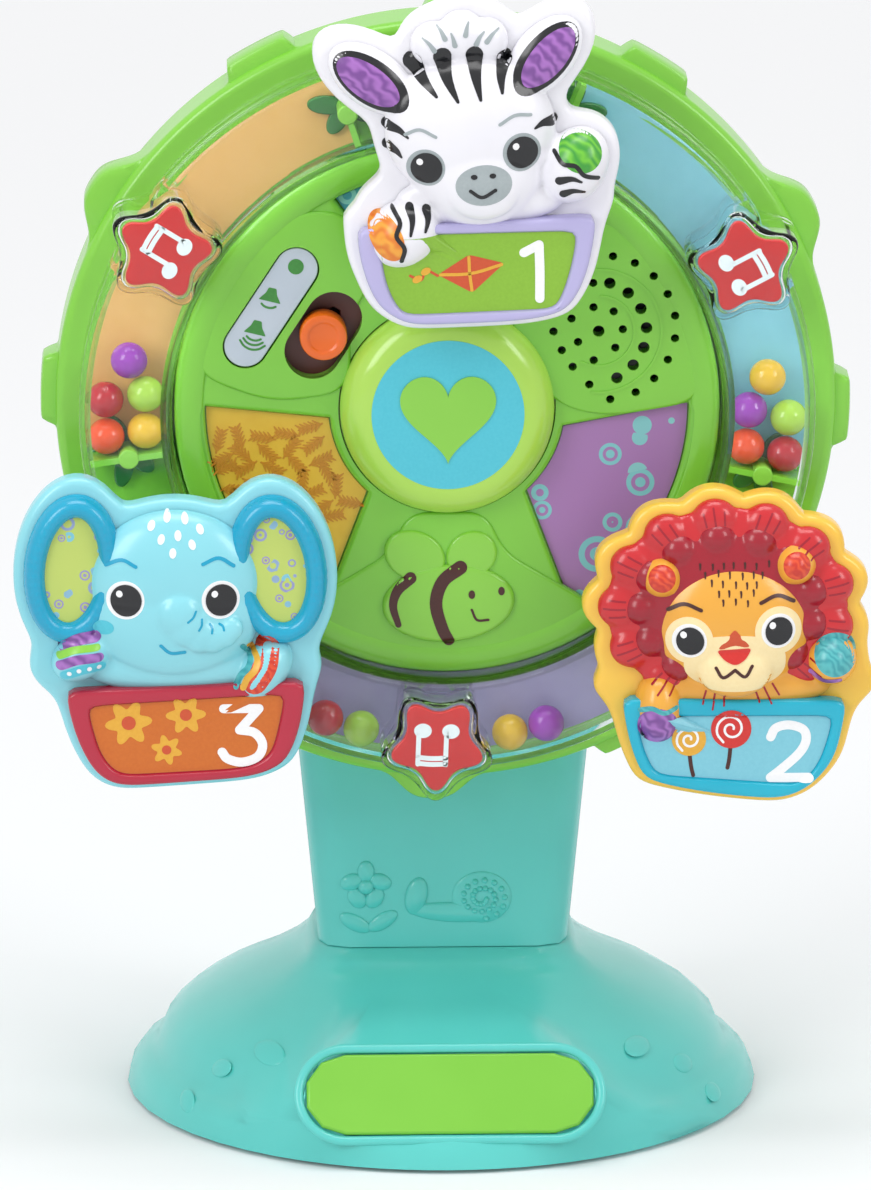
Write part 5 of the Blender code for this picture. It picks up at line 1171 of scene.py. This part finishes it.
# %% Leaf clamps
leaf_dark = moulded_plastic("dark_green_abs", "2F7A34", "27682C")
LEAF_HALF_WIDTH, LEAF_SHARE = 2.1, 0.62
leaves, bosses = [], []
for degrees in CLAMP_SPOKES:
    for tilt, reach in ((90, 7.0), (20, 7.2), (160, 7.2), (-40, 6.0), (220, 6.0)):
        a, half = math.radians(tilt), reach * LEAF_SHARE
        blade = oval(half * math.cos(a), half * math.sin(a), half, LEAF_HALF_WIDTH, tilt, count=28)
        leaves.append(slab(spoke(CLAMP_ORBIT, degrees, blade), 38.0, 39.1 + tilt % 7 * 0.03, 0.5))
    bosses.append(slab(spoke(CLAMP_ORBIT, degrees, oval(0, 0, 2.3, 2.3)), 36.0, 47.9, 0.4))
finished(joined(leaves), "leaf_clamps", leaf_dark, WHEEL_BODY, 45.0)
finished(joined(bosses), "clamp_bosses", ink_leaf_green, WHEEL_BODY, 45.0)
print("clamps:", len(bosses))

# %% [markdown]
# The clear cover is a turned channel with three hollow stars. Clear plastic shows both its faces, so it
# has its real wall.

# %% Clear cover and stars
CLEAR_ROUND, CLEAR_BACK, ROUND_DEPTH, CLEAR_ROOF = 2.8, 37.3, 46.9, 48.0
CLEAR_WALL, CLEAR_CORNER = 1.7, 2.7
OUTER_MARGIN, INNER_MARGIN, BUBBLE_FRONT, HOLLOW_FRONT = 2.4, 0.9, 58.0, 56.5


def star(grow=0.0, steps=100):
    """A star with round points."""
    points = []
    for k in range(steps):
        a = math.tau * k / steps
        radius = 9.05 + grow + 1.6 * math.cos(5 * (a - math.pi / 2)) + 0.22 * math.cos(10 * (a - math.pi / 2))
        points.append((radius * math.cos(a), radius * math.sin(a)))
    return points


outer, inner, near, far = CLEAR - CLEAR_ROUND, BORE + CLEAR_ROUND, BORE + CLEAR_WALL, CLEAR - CLEAR_WALL
profile = [(CLEAR, CLEAR_BACK)]
profile += [(outer + CLEAR_ROUND * math.cos(a), ROUND_DEPTH + CLEAR_ROUND * math.sin(a)) for a in turns(0, 90, 6)]
profile += [(inner - CLEAR_ROUND * math.sin(a), ROUND_DEPTH + CLEAR_ROUND * math.cos(a)) for a in turns(0, 90, 6)]
profile += [(BORE, CLEAR_BACK), (near, CLEAR_BACK), (near, CLEAR_ROOF - 1.0), (BORE + CLEAR_CORNER, CLEAR_ROOF)]
profile += [(CLEAR - CLEAR_CORNER, CLEAR_ROOF), (far, CLEAR_ROOF - 1.0), (far, CLEAR_BACK)]
bubbles = [slab(spoke(STAR_ORBIT, a, star(OUTER_MARGIN)), 38.4, BUBBLE_FRONT, 1.8) for a in STAR_SPOKES]
clear_ring = carved(turned(profile, steps=160), [joined(bubbles)], "UNION")
hollows = [slab(spoke(STAR_ORBIT, a, star(INNER_MARGIN)), 20.0, HOLLOW_FRONT, 1.0) for a in STAR_SPOKES]
hollows += [slab(spoke(PIVOT_ORBIT, a, oval(0, 0, 6.3, 6.3, count=48)), 38.0, 70.0) for a in PIVOT_SPOKES]
clear_ring = finished(carved(clear_ring, [joined(hollows)]), "clear_cover_skin", clear, WHEEL_BODY, 38.0)
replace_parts(clear_ring, "clear_cover")
star_red = moulded_plastic("star_red_abs", "C4100C", "B80C0A", 0.3)
NOTE = (
    ((-2.0, -3.0), (-2.0, 1.0), (-2.0, 4.6)),
    ((4.3, -3.0), (4.3, 1.0), (4.3, 4.6)),
    ((-2.0, 4.4), (1.2, 4.6), (4.3, 4.4)),
    ((-2.0, 3.0), (1.2, 3.2), (4.3, 3.0)),
)
for name, degrees in zip(("right", "left", "bottom"), STAR_SPOKES):
    insert = slab(spoke(STAR_ORBIT, degrees, star()), 54.2, 56.2, 0.4)
    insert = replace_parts(finished(insert, "star_" + name + "_skin", star_red, WHEEL_BODY), "star_" + name)
    surface_of("star", insert)
    for head in spoke(STAR_ORBIT, degrees, [(-3.0, -3.3), (3.4, -3.3)]):
        paint("star", oval(*head, 2.0, 1.7, degrees - 90), ink_pale_grey, 0.1, rings=4)
    for path in NOTE:
        stroke("star", spoke(STAR_ORBIT, degrees, path), 1.1, ink_pale_grey, 0.1)
    press_prints("star", WHEEL_BODY)
print("clear cover faces:", len(clear_ring.data.polygons))

# %% [markdown]
# The balls are glossy, each with the faint parting line of its mould. The sheets on the channel's floor
# are plain colours, as in the photograph.

# %% Balls and sheets
BALL_RADIUS = 4.15 * MM
BALLS = {
    "purple": ("9B3FB0", "8B34A2"),
    "red": ("B5202A", "A51A24"),
    "lime": ("A9D04A", "9DC63E"),
    "orange": ("E8501E", "DC4616"),
    "yellow": ("E5B830", "DCAC26"),
}
coats = {name: moulded_plastic(name + "_ball_plastic", *codes, 0.12) for name, codes in BALLS.items()}
for name in sorted(node for node in nodes if node.startswith("ball_")):
    bm = bmesh.new()
    bmesh.ops.create_uvsphere(bm, u_segments=48, v_segments=24, radius=BALL_RADIUS)
    for vert in bm.verts:
        if abs(vert.co.z) < 0.02 * BALL_RADIUS:
            vert.co *= 0.992
    bmesh.ops.rotate(bm, verts=bm.verts, cent=(0, 0, 0), matrix=Matrix.Rotation(len(name) * 0.9, 3, "X"))
    bmesh.ops.translate(bm, verts=bm.verts, vec=middle(name))
    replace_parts(finished(bm, name + "_skin", coats[name.rsplit("_", 1)[1]], body_of(name), 60.0), name)
SHEETS = {
    "left": (111, 189, "E0B06A", "D8A65A"),
    "right": (-9, 69, "86C8D4", "7CBFCC"),
    "bottom": (231, 309, "A29BC0", "958EB6"),
}
low, high = BORE + 2.0, CLEAR - 2.0
for side, (start, end, code, deeper) in SHEETS.items():
    coat = ink(side + "_sheet_ink", code, deeper, 0.45, 4.0)
    outline = [spoke(high, start + (end - start) * k / 48)[0] for k in range(49)]
    outline += [spoke(low, end - (end - start) * k / 48)[0] for k in range(49)]
    sheet = slab(outline, CLEAR_BACK, CLEAR_BACK + 0.5)
    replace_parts(finished(sheet, "channel_sheet_" + side, coat, WHEEL_BODY), "channel_label_" + side)
print("balls:", len([node for node in nodes if node.startswith("ball_")]), "sheets:", len(SHEETS))

# %% [markdown]
# ## The foot
# The base is one glossy shell with a bib in front, and the name plate lies in the bib behind a low
# raised rim. A flower, two leaves and a snail swell out of the moulding, as low reliefs do.

# %% Reliefs on the foot
BASE_BODY = body_of("base_shell")
FOOT = HUB.z / MM
surface_of("foot", shell_skin, front_skin)
LEAN = math.radians(30.3)
PLATE_MIDDLE = Vector((0.0, -65.6, 16.6))
RIM_THICKNESS, RIM_STEPS = 1.1, 16
plate_out = Vector((0.0, -math.cos(LEAN), math.sin(LEAN)))
plate_up = Vector((0.0, math.sin(LEAN), math.cos(LEAN)))
skin("name_plate", green, edge=0.5)
bm = bmesh.new()
rings = []
for k in range(RIM_STEPS):
    a = math.tau * k / RIM_STEPS
    ring = []
    for u, v in offset(stadium(69.6, 21.7, 0.0, 0.0, 0.0, 28), RIM_THICKNESS * math.cos(a)):
        place = PLATE_MIDDLE + Vector((u, 0.0, 0.0)) + plate_up * v + plate_out * (0.9 * math.sin(a) - 0.15)
        ring.append(bm.verts.new(place * MM))
    rings.append(ring)
bridge(bm, rings + rings[:1])
finished(bm, "name_plate_rim", turquoise, BASE_BODY, 60.0)


def pebble(u, z, half_u, half_v, tilt, height):
    """A low dome set along the surface's own slope. The height above the floor is z."""
    start = Vector((HUB.x + u * MM, -0.2, z * MM))
    place, normal, _, _ = surfaces["foot"].ray_cast(start, Vector((0.0, 1.0, 0.0)))
    facing = normal.to_track_quat("Y", "Z").to_matrix().to_4x4() @ Matrix.Rotation(-math.radians(tilt), 4, "Y")
    size = Matrix.Diagonal((half_u * MM, height * MM, half_v * MM, 1.0))
    matrix = Matrix.Translation(place) @ facing @ size
    bmesh.ops.create_uvsphere(pebbles, u_segments=32, v_segments=16, radius=1.0, matrix=matrix)


pebbles = bmesh.new()
FLOWER, SHELL = (-18.1, 53.0), (8.8, 50.2)
for k in range(5):
    a = math.radians(90 + 72 * k)
    pebble(FLOWER[0] + 3.5 * math.cos(a), FLOWER[1] + 3.5 * math.sin(a), 2.7, 2.0, math.degrees(a), 1.0)
pebble(*FLOWER, 1.9, 1.9, 0, 1.6)
for u, z, tilt in ((-20.6, 44.2, 28), (-14.2, 44.6, -32)):
    pebble(u, z, 4.0, 1.9, tilt, 0.9)
pebble(2.4, 46.6, 10.4, 2.4, 3, 1.1)
pebble(-6.4, 50.6, 2.6, 4.6, 12, 1.3)
pebble(*SHELL, 7.0, 6.2, 0, 1.0)
for k in range(30):
    a, reach = math.radians(-80 + 27 * k), 5.8 * (1 - k / 36)
    pebble(SHELL[0] + reach * math.cos(a), SHELL[1] + reach * 0.88 * math.sin(a), 0.8, 0.8, 0, 1.5 + 0.015 * k)
left_lobes = ((-41, 20, 5.0, 20), (-52, 15, 3.6, -15), (-60, 7, 3.6, 30))
right_lobes = ((44, 20, 4.6, -20), (55, 14, 3.8, 15), (62, 7, 3.6, -30))
for u, z, half_u, tilt in left_lobes + right_lobes:
    pebble(u, z, half_u, half_u * 0.6, tilt, 0.45)
finished(pebbles, "foot_reliefs", turquoise, BASE_BODY, 60.0)
print("foot reliefs done")

# %% [markdown]
# ## Everything else the frame carries
# Pieces that stay as the frame has them get a real material each, and a small mould round.

# %% Remaining pieces
rubber = moulded_plastic("clear_grey_pvc", "D9E2E2", "CCD7D7", 0.35)
black_rubber = moulded_plastic("black_rubber", "26272A", "1D1E20", 0.6)
black_abs = moulded_plastic("black_abs", "2A2B2E", "222326", 0.35)
board = moulded_plastic("green_fibreglass", "2F7A46", "27693B", 0.4)
steel = ink("zinc_plated_steel", "C9CDD2", "B5BAC0", 0.28, 0.5, 1.0)
jacket = ink("cell_jacket_ink", "D9A441", "CF9836", 0.3, 6.0)
lamp_plastic = clear_plastic("lamp_epoxy", "F4EFC8", 0.05)
REST = (
    (rubber, 0.4, ["suction_cup"]),
    (turquoise, 0.3, ["base_bottom"]),
    (green, 0.3, ["hub_drum"]),
    (jacket, 0.3, ["battery_left", "battery_right"]),
    (steel, 0.1, ["battery_contact_top", "battery_contact_bottom"]),
    (turquoise, 0.3, ["battery_door"]),
    (board, 0.1, ["circuit_board"]),
    (black_abs, 0.3, ["speaker"]),
    (lamp_plastic, 0.2, ["button_lamp"]),
    (black_rubber, 0.2, ["button_dome"]),
    (maroon, 0.2, ["slot_tray"]),
    (black_abs, 0.1, ["volume_switch"]),
    (green, 0.3, ["zebra_pin", "elephant_pin", "lion_pin"]),
)
for coat, edge, names in REST:
    for name in names:
        skin(name, coat, edge)
print("dressed as they are:", sum(len(names) for _, _, names in REST))

# %% [markdown]
# The battery door at the back is held by one cross-head screw.

# %% Door screw
low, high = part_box("battery_door")
screw_u, screw_v = (low.x + high.x) / 2 / MM, low.z / MM + 5.0
back = -high.y / MM
head = [(0.0, back + 1.2), (2.7, back + 1.2), (2.7, back + 0.1), (2.2, back - 0.35), (0.0, back - 0.45)]
screw = turned(head, screw_u, screw_v - FOOT, 48, closed=False)
for across, along in ((0.35, 1.7), (1.7, 0.35)):
    corners = [(-across, -along), (across, -along), (across, along), (-across, along)]
    cut = slab([(screw_u + a, screw_v - FOOT + b) for a, b in corners], back - 3.0, back + 0.4)
    screw = carved(screw, [cut])
finished(screw, "door_screw", steel, body_of("battery_door"), 40.0)
print("screw on the door at", round(screw_u, 1), round(screw_v, 1), "mm")

# %% [markdown]
# ## The zebra
# White, with its own set of stripes: four wedges on the brow, and short ones on the cheeks and arms.
# An eye is a ring, a black disc and a white dot that is a painted highlight, one film over the other.


# %% Eyes and digits
def eye(owner, u, v, ring_ink, size=4.0, rise=0.0):
    """A ring, a dark disc and a white dot, which is a painted highlight."""
    paint(owner, oval(u, v, size + 0.35, size + 0.45), ring_ink, 0.06 + rise)
    paint(owner, oval(u + 0.15, v - 0.05, size - 0.45, size - 0.3), ink_black, 0.22 + rise)
    # The small white dot at the upper left is a painted highlight.
    paint(owner, oval(u - 1.35, v + 1.45, 0.75, 0.8, count=20), ink_white, 0.34 + rise, rings=3)


DIGITS = {
    "1": [[(-2.6, 4.4), (0.8, 6.2)], [(0.8, 6.2), (1.0, 0.0), (1.0, -6.2)]],
    "2": [
        [(-4.2, 3.4), (-3.0, 5.5), (0.0, 6.2), (3.2, 5.1), (3.9, 2.6), (2.4, -0.4), (-1.2, -3.8), (-4.2, -6.2)],
        [(-4.2, -6.2), (0.0, -6.2), (4.6, -6.2)],
    ],
    "3": [
        [(-4.2, 6.2), (0.0, 6.2), (3.8, 6.2)],
        [(3.8, 6.2), (1.6, 3.7), (-0.6, 1.2)],
        [(-0.6, 1.2), (2.8, 0.5), (4.6, -2.2), (3.5, -5.1), (0.0, -6.4), (-3.3, -5.6), (-4.6, -4.0)],
    ],
}


def digit(owner, figure, u, v, width=2.1):
    """A digit's strokes, each a little higher than the one before, as they cross."""
    for k, path in enumerate(DIGITS[figure]):
        stroke(owner, [(u + a, v + b) for a, b in path], width, ink_white, 0.2 + 0.07 * k)


def panel(owner, panel_ink):
    """The coloured ground of a tub's picture."""
    paint(owner, offset(tub_outline(PANELS[owner]), -0.15), panel_ink, 0.1, rings=2)


# %% Zebra
line, patch = partial(stroke, "zebra"), partial(paint, "zebra")
zebra = relief("zebra_relief", "zebra", ZEBRA_SHAPES, white)
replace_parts(zebra, "zebra_figure")
surface_of("zebra", zebra, plaques["zebra"], tubs["zebra"])
for u, v, tilt, side in ((-20.6, 7.3, -36, 1), (18.7, 12.5, 50, -1)):
    patch(oval(u, v, 9.9, 5.1, tilt), ink_black, 0.06)
    inward_u, inward_v = side * 0.8 * math.cos(math.radians(tilt)), side * 0.8 * math.sin(math.radians(tilt))
    patch(oval(u - inward_u, v - inward_v - 0.4, 8.3, 3.9, tilt), purple_marble, 0.2)
WEDGES = [
    ((-11.2, 11.6), (-9.2, 8.4), (-6.0, 4.6), 4.4),
    ((-4.6, 13.2), (-3.6, 8.6), (-1.2, 3.6), 4.2),
    ((2.6, 13.6), (2.9, 9.0), (3.9, 4.0), 4.0),
    ((9.4, 12.6), (8.6, 9.0), (8.8, 5.4), 3.6),
]
for start, mid, end, width in WEDGES:
    line([start, mid, end], width, ink_black, 0.1, 0.7)
for start, mid, end in (
    ((-17.0, -2.6), (-14.4, -3.4), (-12.4, -5.0)),
    ((-16.8, -7.4), (-15.0, -8.4), (-13.8, -9.8)),
    ((20.2, -1.8), (18.0, -2.0), (16.2, -3.0)),
):
    line([start, mid, end], 2.6, ink_black, 0.1, 0.5)
eye("zebra", -8.4, -11.8, ink_grey)
eye("zebra", 13.2, -8.2, ink_grey)
line([(-13.0, -4.2), (-9.8, -2.9), (-6.2, -4.4)], 0.75, ink_grey, 0.12)
line([(8.2, -1.6), (11.6, 0.3), (15.2, 0.2)], 0.75, ink_grey, 0.12)
patch(oval(4.6, -15.4, 6.4, 4.6, 6), ink_grey, 0.08)
for u in (2.4, 6.6):
    patch(oval(u, -13.6 + u * 0.06, 0.75, 0.55, count=20), ink_black, 0.2, rings=3)
line([(1.6, -16.6), (4.2, -18.0), (7.2, -16.4)], 0.8, ink_black, 0.2)
TUFT = ((-6.4, 14.6, -1.2), (-4.0, 17.2, -0.8), (-1.8, 15.8, -0.4))
TUFT += ((0.6, 18.2, 0.3), (3.0, 16.0, 0.8), (5.4, 16.6, 1.2))
for u, v, lean in TUFT:
    line([(u, v), (u + lean, v + 1.6), (u + lean * 2.2, v + 2.8)], 1.2, ink_grey, 0.12, 0.4)
patch(oval(26.4, -8.6, 5.0, 4.4, -28), green_marble, 0.08)
line([(20.6, -8.6), (22.4, -11.0), (25.2, -11.4), (27.2, -13.6), (30.4, -14.6)], 1.0, ink_black, 0.2)
for path in ([(21.6, -15.0), (24.4, -14.4), (26.6, -15.2)], [(22.6, -18.2), (24.8, -17.4), (27.4, -17.8)]):
    line(path, 1.9, ink_black, 0.14, 0.5)
patch(oval(-17.2, -28.0, 3.6, 5.8, 26), amber_marble, 0.08)
line([(-15.8, -21.6), (-14.2, -24.4), (-15.0, -27.4), (-13.2, -30.2), (-13.8, -33.4)], 1.0, ink_black, 0.2)
for path in ([(-12.0, -21.4), (-11.4, -24.0), (-11.8, -27.2)], [(-8.2, -21.8), (-7.8, -24.0), (-8.4, -26.6)]):
    line(path, 2.0, ink_black, 0.14, 0.6)
panel("zebra", ink_panel_green)
kite = [(-5.6, -37.2), (2.2, -41.4), (9.4, -34.6), (1.4, -32.6)]
patch(rounded(kite, 1.0), ink_orange_red, 0.16)
line([(-5.0, -37.2), (2.0, -36.9), (8.8, -34.9)], 0.7, ink_amber, 0.24)
line([(1.4, -33.2), (1.6, -37.0), (2.1, -40.8)], 0.7, ink_amber, 0.24)
line([(-5.6, -37.4), (-8.2, -36.2), (-9.4, -38.4), (-11.8, -37.4)], 0.6, ink_orange_red, 0.18)
for u, v in ((-8.3, -36.4), (-10.2, -38.2)):
    patch(oval(u, v, 1.2, 0.8, 30, count=20), ink_amber, 0.24, rings=3)
digit("zebra", "1", 16.4, -36.6)
press_prints("zebra", body_of("zebra_plaque"))
print("zebra relief:", len(zebra.data.polygons), "faces")

# %% [markdown]
# ## The elephant
# Its ears are rims round a sunk, spotted pad. The trunk is a chain of shrinking domes that melts into
# the face, with creases printed across it. Pale freckles sit on the brow.

# %% Elephant
line, patch = partial(stroke, "elephant"), partial(paint, "elephant")
elephant = relief("elephant_relief", "elephant", ELEPHANT_SHAPES, aqua)
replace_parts(elephant, "elephant_figure")
rims = []
for u, v, half_u, half_v, tilt in ELEPHANT_EARS:
    for a, b in oval(u, v, half_u - 2.6, half_v - 2.6, tilt, count=44):
        rims.append(ball_shape(a, b, 2.7, 2.7, 4.3, lift=0.2))
ear_rims = relief("elephant_ears", "elephant", rims, deep_cyan, 0.45, segments=20)
pads = []
for (u, v, half_u, half_v, tilt), side in zip(ELEPHANT_EARS, ("left", "right")):
    outline = oval(u, v, half_u - 3.6, half_v - 4.2, tilt, count=64)
    pad = lofted("elephant", [(outline, FIGURE_REAR)] + round_over(outline, FIGURE_REAR + 2.0, 1.4))
    pads.append(finished(pad, "elephant_pad_" + side, lime_spots, body_of("elephant_plaque"), 40.0))
surface_of("elephant", elephant, ear_rims, plaques["elephant"], tubs["elephant"], *pads)
eye("elephant", -7.6, -1.6, ink_white)
eye("elephant", 14.0, -1.6, ink_white)
line([(-12.0, 6.2), (-8.4, 7.6), (-5.2, 6.2)], 0.8, deep_cyan, 0.12)
line([(10.0, 6.8), (13.6, 8.0), (17.0, 6.0)], 0.8, deep_cyan, 0.12)
for u, v in ((-1.6, 15.2), (2.0, 17.0), (6.0, 16.6), (9.4, 14.4), (0.6, 12.4), (4.4, 13.2), (7.6, 11.2), (3.2, 9.4)):
    patch(oval(u, v, 0.8, 1.15, (u - 4) * 5, count=20), ink_white, 0.12, rings=3)
for (u, v, r), (nu, nv, _) in zip(TRUNK[1:5], TRUNK[2:]):
    along = Vector((nu - u, nv - v)).normalized()
    across = Vector((-along.y, along.x))
    tip, root = Vector((u, v + 1.4)) + across * r * 0.62, Vector((u, v + 1.4)) + across * r * 0.05
    line([tip, (tip + root) / 2 + along * 0.3, root], 0.5, deep_cyan, 0.08)
line([(0.4, -12.2), (2.6, -14.0), (5.8, -13.8)], 0.75, deep_cyan, 0.12)
patch(oval(-12.6, -8.4, 2.4, 1.7, count=24), ink_sky, 0.06, rings=3)
line([(-21.6, -13.0), (-18.4, -11.2), (-14.4, -10.6)], 2.6, purple_marble, 0.1)
line([(-22.6, -15.0), (-19.0, -13.4), (-14.0, -12.9)], 1.5, ink_leaf_green, 0.16)
line([(-22.4, -17.2), (-18.6, -15.6), (-13.6, -15.2)], 2.2, purple_marble, 0.1)
line([(-21.4, -19.6), (-17.4, -18.0), (-13.2, -17.6)], 2.4, ink_sky, 0.1)
for u, v in ((-20.4, -19.0), (-18.2, -18.2), (-15.8, -17.8), (-13.6, -17.6)):
    patch(oval(u, v, 0.55, 0.55, count=16), ink_white, 0.2, rings=2)
scallops = [(19.0, -13.4), (20.6, -15.6), (20.2, -18.0), (18.4, -20.2), (17.4, -22.6)]
line(scallops, 1.2, teal_marble, 0.2)
line([(u + 1.6, v - 0.2) for u, v in scallops], 1.4, ink_amber, 0.14)
line([(24.6, -13.6), (24.0, -17.6), (21.6, -21.6)], 5.4, red_marble, 0.1)
panel("elephant", ink_panel_orange)
for u, v, r in ((-7.0, -31.2, 5.4), (6.0, -29.4, 4.6), (1.6, -37.6, 3.6)):
    petals = []
    for i in range(60):
        a = math.tau * i / 60
        reach = r * (0.80 + 0.20 * math.cos(6 * a + u))
        petals.append((u + reach * math.cos(a), v + reach * math.sin(a)))
    patch(petals, ink_amber, 0.16)
    patch(oval(u, v, r * 0.3, r * 0.3, count=24), ink_orange_red, 0.24, rings=3)
digit("elephant", "3", 18.8, -34.2)
press_prints("elephant", body_of("elephant_plaque"))
print("elephant relief:", len(elephant.data.polygons), "faces")

# %% [markdown]
# ## The lion
# The mane is two tiers of puffed lobes, the outer one brighter. The face has a cream lower half, an
# orange wedge over a red nose, and short brown dashes for fur on the brow.

# %% Lion
line, patch = partial(stroke, "lion"), partial(paint, "lion")
MANE_TIERS = (("outer", 24.2, 5.4, 3.4, scarlet), ("inner", 19.6, 4.6, 4.8, wine))
tiers = []
for tier, orbit, lobe, depth, coat in MANE_TIERS:
    domes = [ball_shape(*MANE_MIDDLE, orbit + 3.4, (orbit + 3.4) * MANE_SQUASH, depth * 1.15)]
    for i in range(MANE_LOBES):
        a = math.tau * (i + 0.5) / MANE_LOBES
        u, v = MANE_MIDDLE[0] + orbit * math.cos(a), MANE_MIDDLE[1] + orbit * MANE_SQUASH * math.sin(a)
        domes.append(ball_shape(u, v, lobe, lobe * 0.94, depth))
    tiers.append(relief("lion_mane_" + tier, "lion", domes, coat, 0.45))
lion = relief("lion_relief", "lion", LION_SHAPES, moulded_plastic("amber_abs", "EFB045", "E7A238"))
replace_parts(lion, "lion_figure")
surface_of("lion", lion, plaques["lion"], tubs["lion"], *tiers)
ink_cream = ink("cream_ink", "FBE7B4", "F6DEA4")
for i in range(MANE_LOBES):
    a = math.tau * (i + 0.5) / MANE_LOBES
    for spread in (-0.09, 0.0, 0.09):
        cos, sin = math.cos(a + spread), math.sin(a + spread)
        near, far = 23.4, 28.2 - abs(spread) * 14
        reaches = (near, (near + far) / 2, far)
        line([(MANE_MIDDLE[0] + r * cos, MANE_MIDDLE[1] + r * MANE_SQUASH * sin) for r in reaches], 0.45, wine, 0.06)
patch(oval(-15.8, 6.8, 3.1, 3.1), red_marble, 0.1)
patch(oval(14.8, 9.6, 3.1, 3.1), red_marble, 0.1)
patch(oval(0.8, -12.6, 11.6, 6.6, power=2.6, count=72), ink_cream, 0.1, rings=20)
for u, v in ((-9.6, -7.4), (10.6, -5.2)):
    patch(oval(u, v, 5.4, 5.6, count=60), ink_cream, 0.16, rings=12)
    eye("lion", u, v, ink_white, 3.6, 0.2)
line([(-14.4, -0.6), (-10.8, 1.0), (-7.0, -0.2)], 0.85, ink_brown, 0.12)
line([(6.6, 1.4), (10.4, 2.8), (14.2, 1.2)], 0.85, ink_brown, 0.12)
random.seed(7)
for row, v in enumerate((9.6, 7.6, 5.6, 3.6, 1.6)):
    for k in range(7 - row):
        u = (k - (6 - row) / 2) * 2.6 + random.uniform(-0.4, 0.4) + 0.8
        top = v + 0.5 + random.uniform(-0.35, 0.35)
        line([(u, top), (u + 0.04, top - 0.6), (u, top - 1.2)], 0.5, ink_brown, 0.12, 0.3)
patch(rounded([(-3.2, -9.2), (0.6, -4.4), (4.2, -8.6)], 0.8), ink_orange_red, 0.14)
patch(rounded([(-3.6, -9.4), (4.6, -8.9), (3.2, -11.4), (0.8, -12.8), (-1.8, -11.6)], 1.2), ink_red, 0.3)
line([(-3.6, -13.4), (-2.0, -15.6), (0.7, -13.8)], 0.75, ink_brown, 0.2)
line([(0.7, -13.8), (3.0, -15.4), (4.6, -13.0)], 0.75, ink_brown, 0.2)
patch(oval(-16.6, -27.8, 4.6, 4.4), purple_marble, 0.1)
line([(-20.6, -24.2), (-18.0, -23.4), (-15.2, -24.4), (-12.4, -23.6)], 1.1, teal_marble, 0.2)
patch(oval(23.8, -11.6, 4.9, 4.9), teal_marble, 0.1)
line([(18.2, -15.6), (21.0, -17.6), (24.8, -17.6)], 1.1, purple_marble, 0.2)
panel("lion", ink_panel_blue)
for u, v, r, coat, lean in ((-9.4, -31.6, 3.9, ink_amber, 0.5), (0.2, -29.2, 4.6, ink_red, -0.4)):
    line([(u, v - r * 0.6), (u + lean, v - r - 2.4), (u + lean * 2, v - r - 4.6)], 0.9, ink_brown, 0.16)
    patch(oval(u, v, r, r), coat, 0.22)
    swirl = []
    for k in range(16):
        a, reach = math.tau * k / 9, r * (0.12 + 0.66 * k / 15)
        swirl.append((u + reach * math.cos(a), v + reach * math.sin(a)))
    line(swirl, 0.55, ink_white, 0.3, steps=3)
digit("lion", "2", 13.4, -34.6)
press_prints("lion", body_of("lion_plaque"))
print("lion relief:", len(lion.data.polygons), "faces")

# %% [markdown]
# ## Sizes, and the end
# The last line prints the dressed toy's box in millimetres. The dressed toy has to stay in the
# frame's box.

# %% Print the sizes
low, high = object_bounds()
print("visual box in mm:", [round(v / MM, 1) for v in low], [round(v / MM, 1) for v in high])
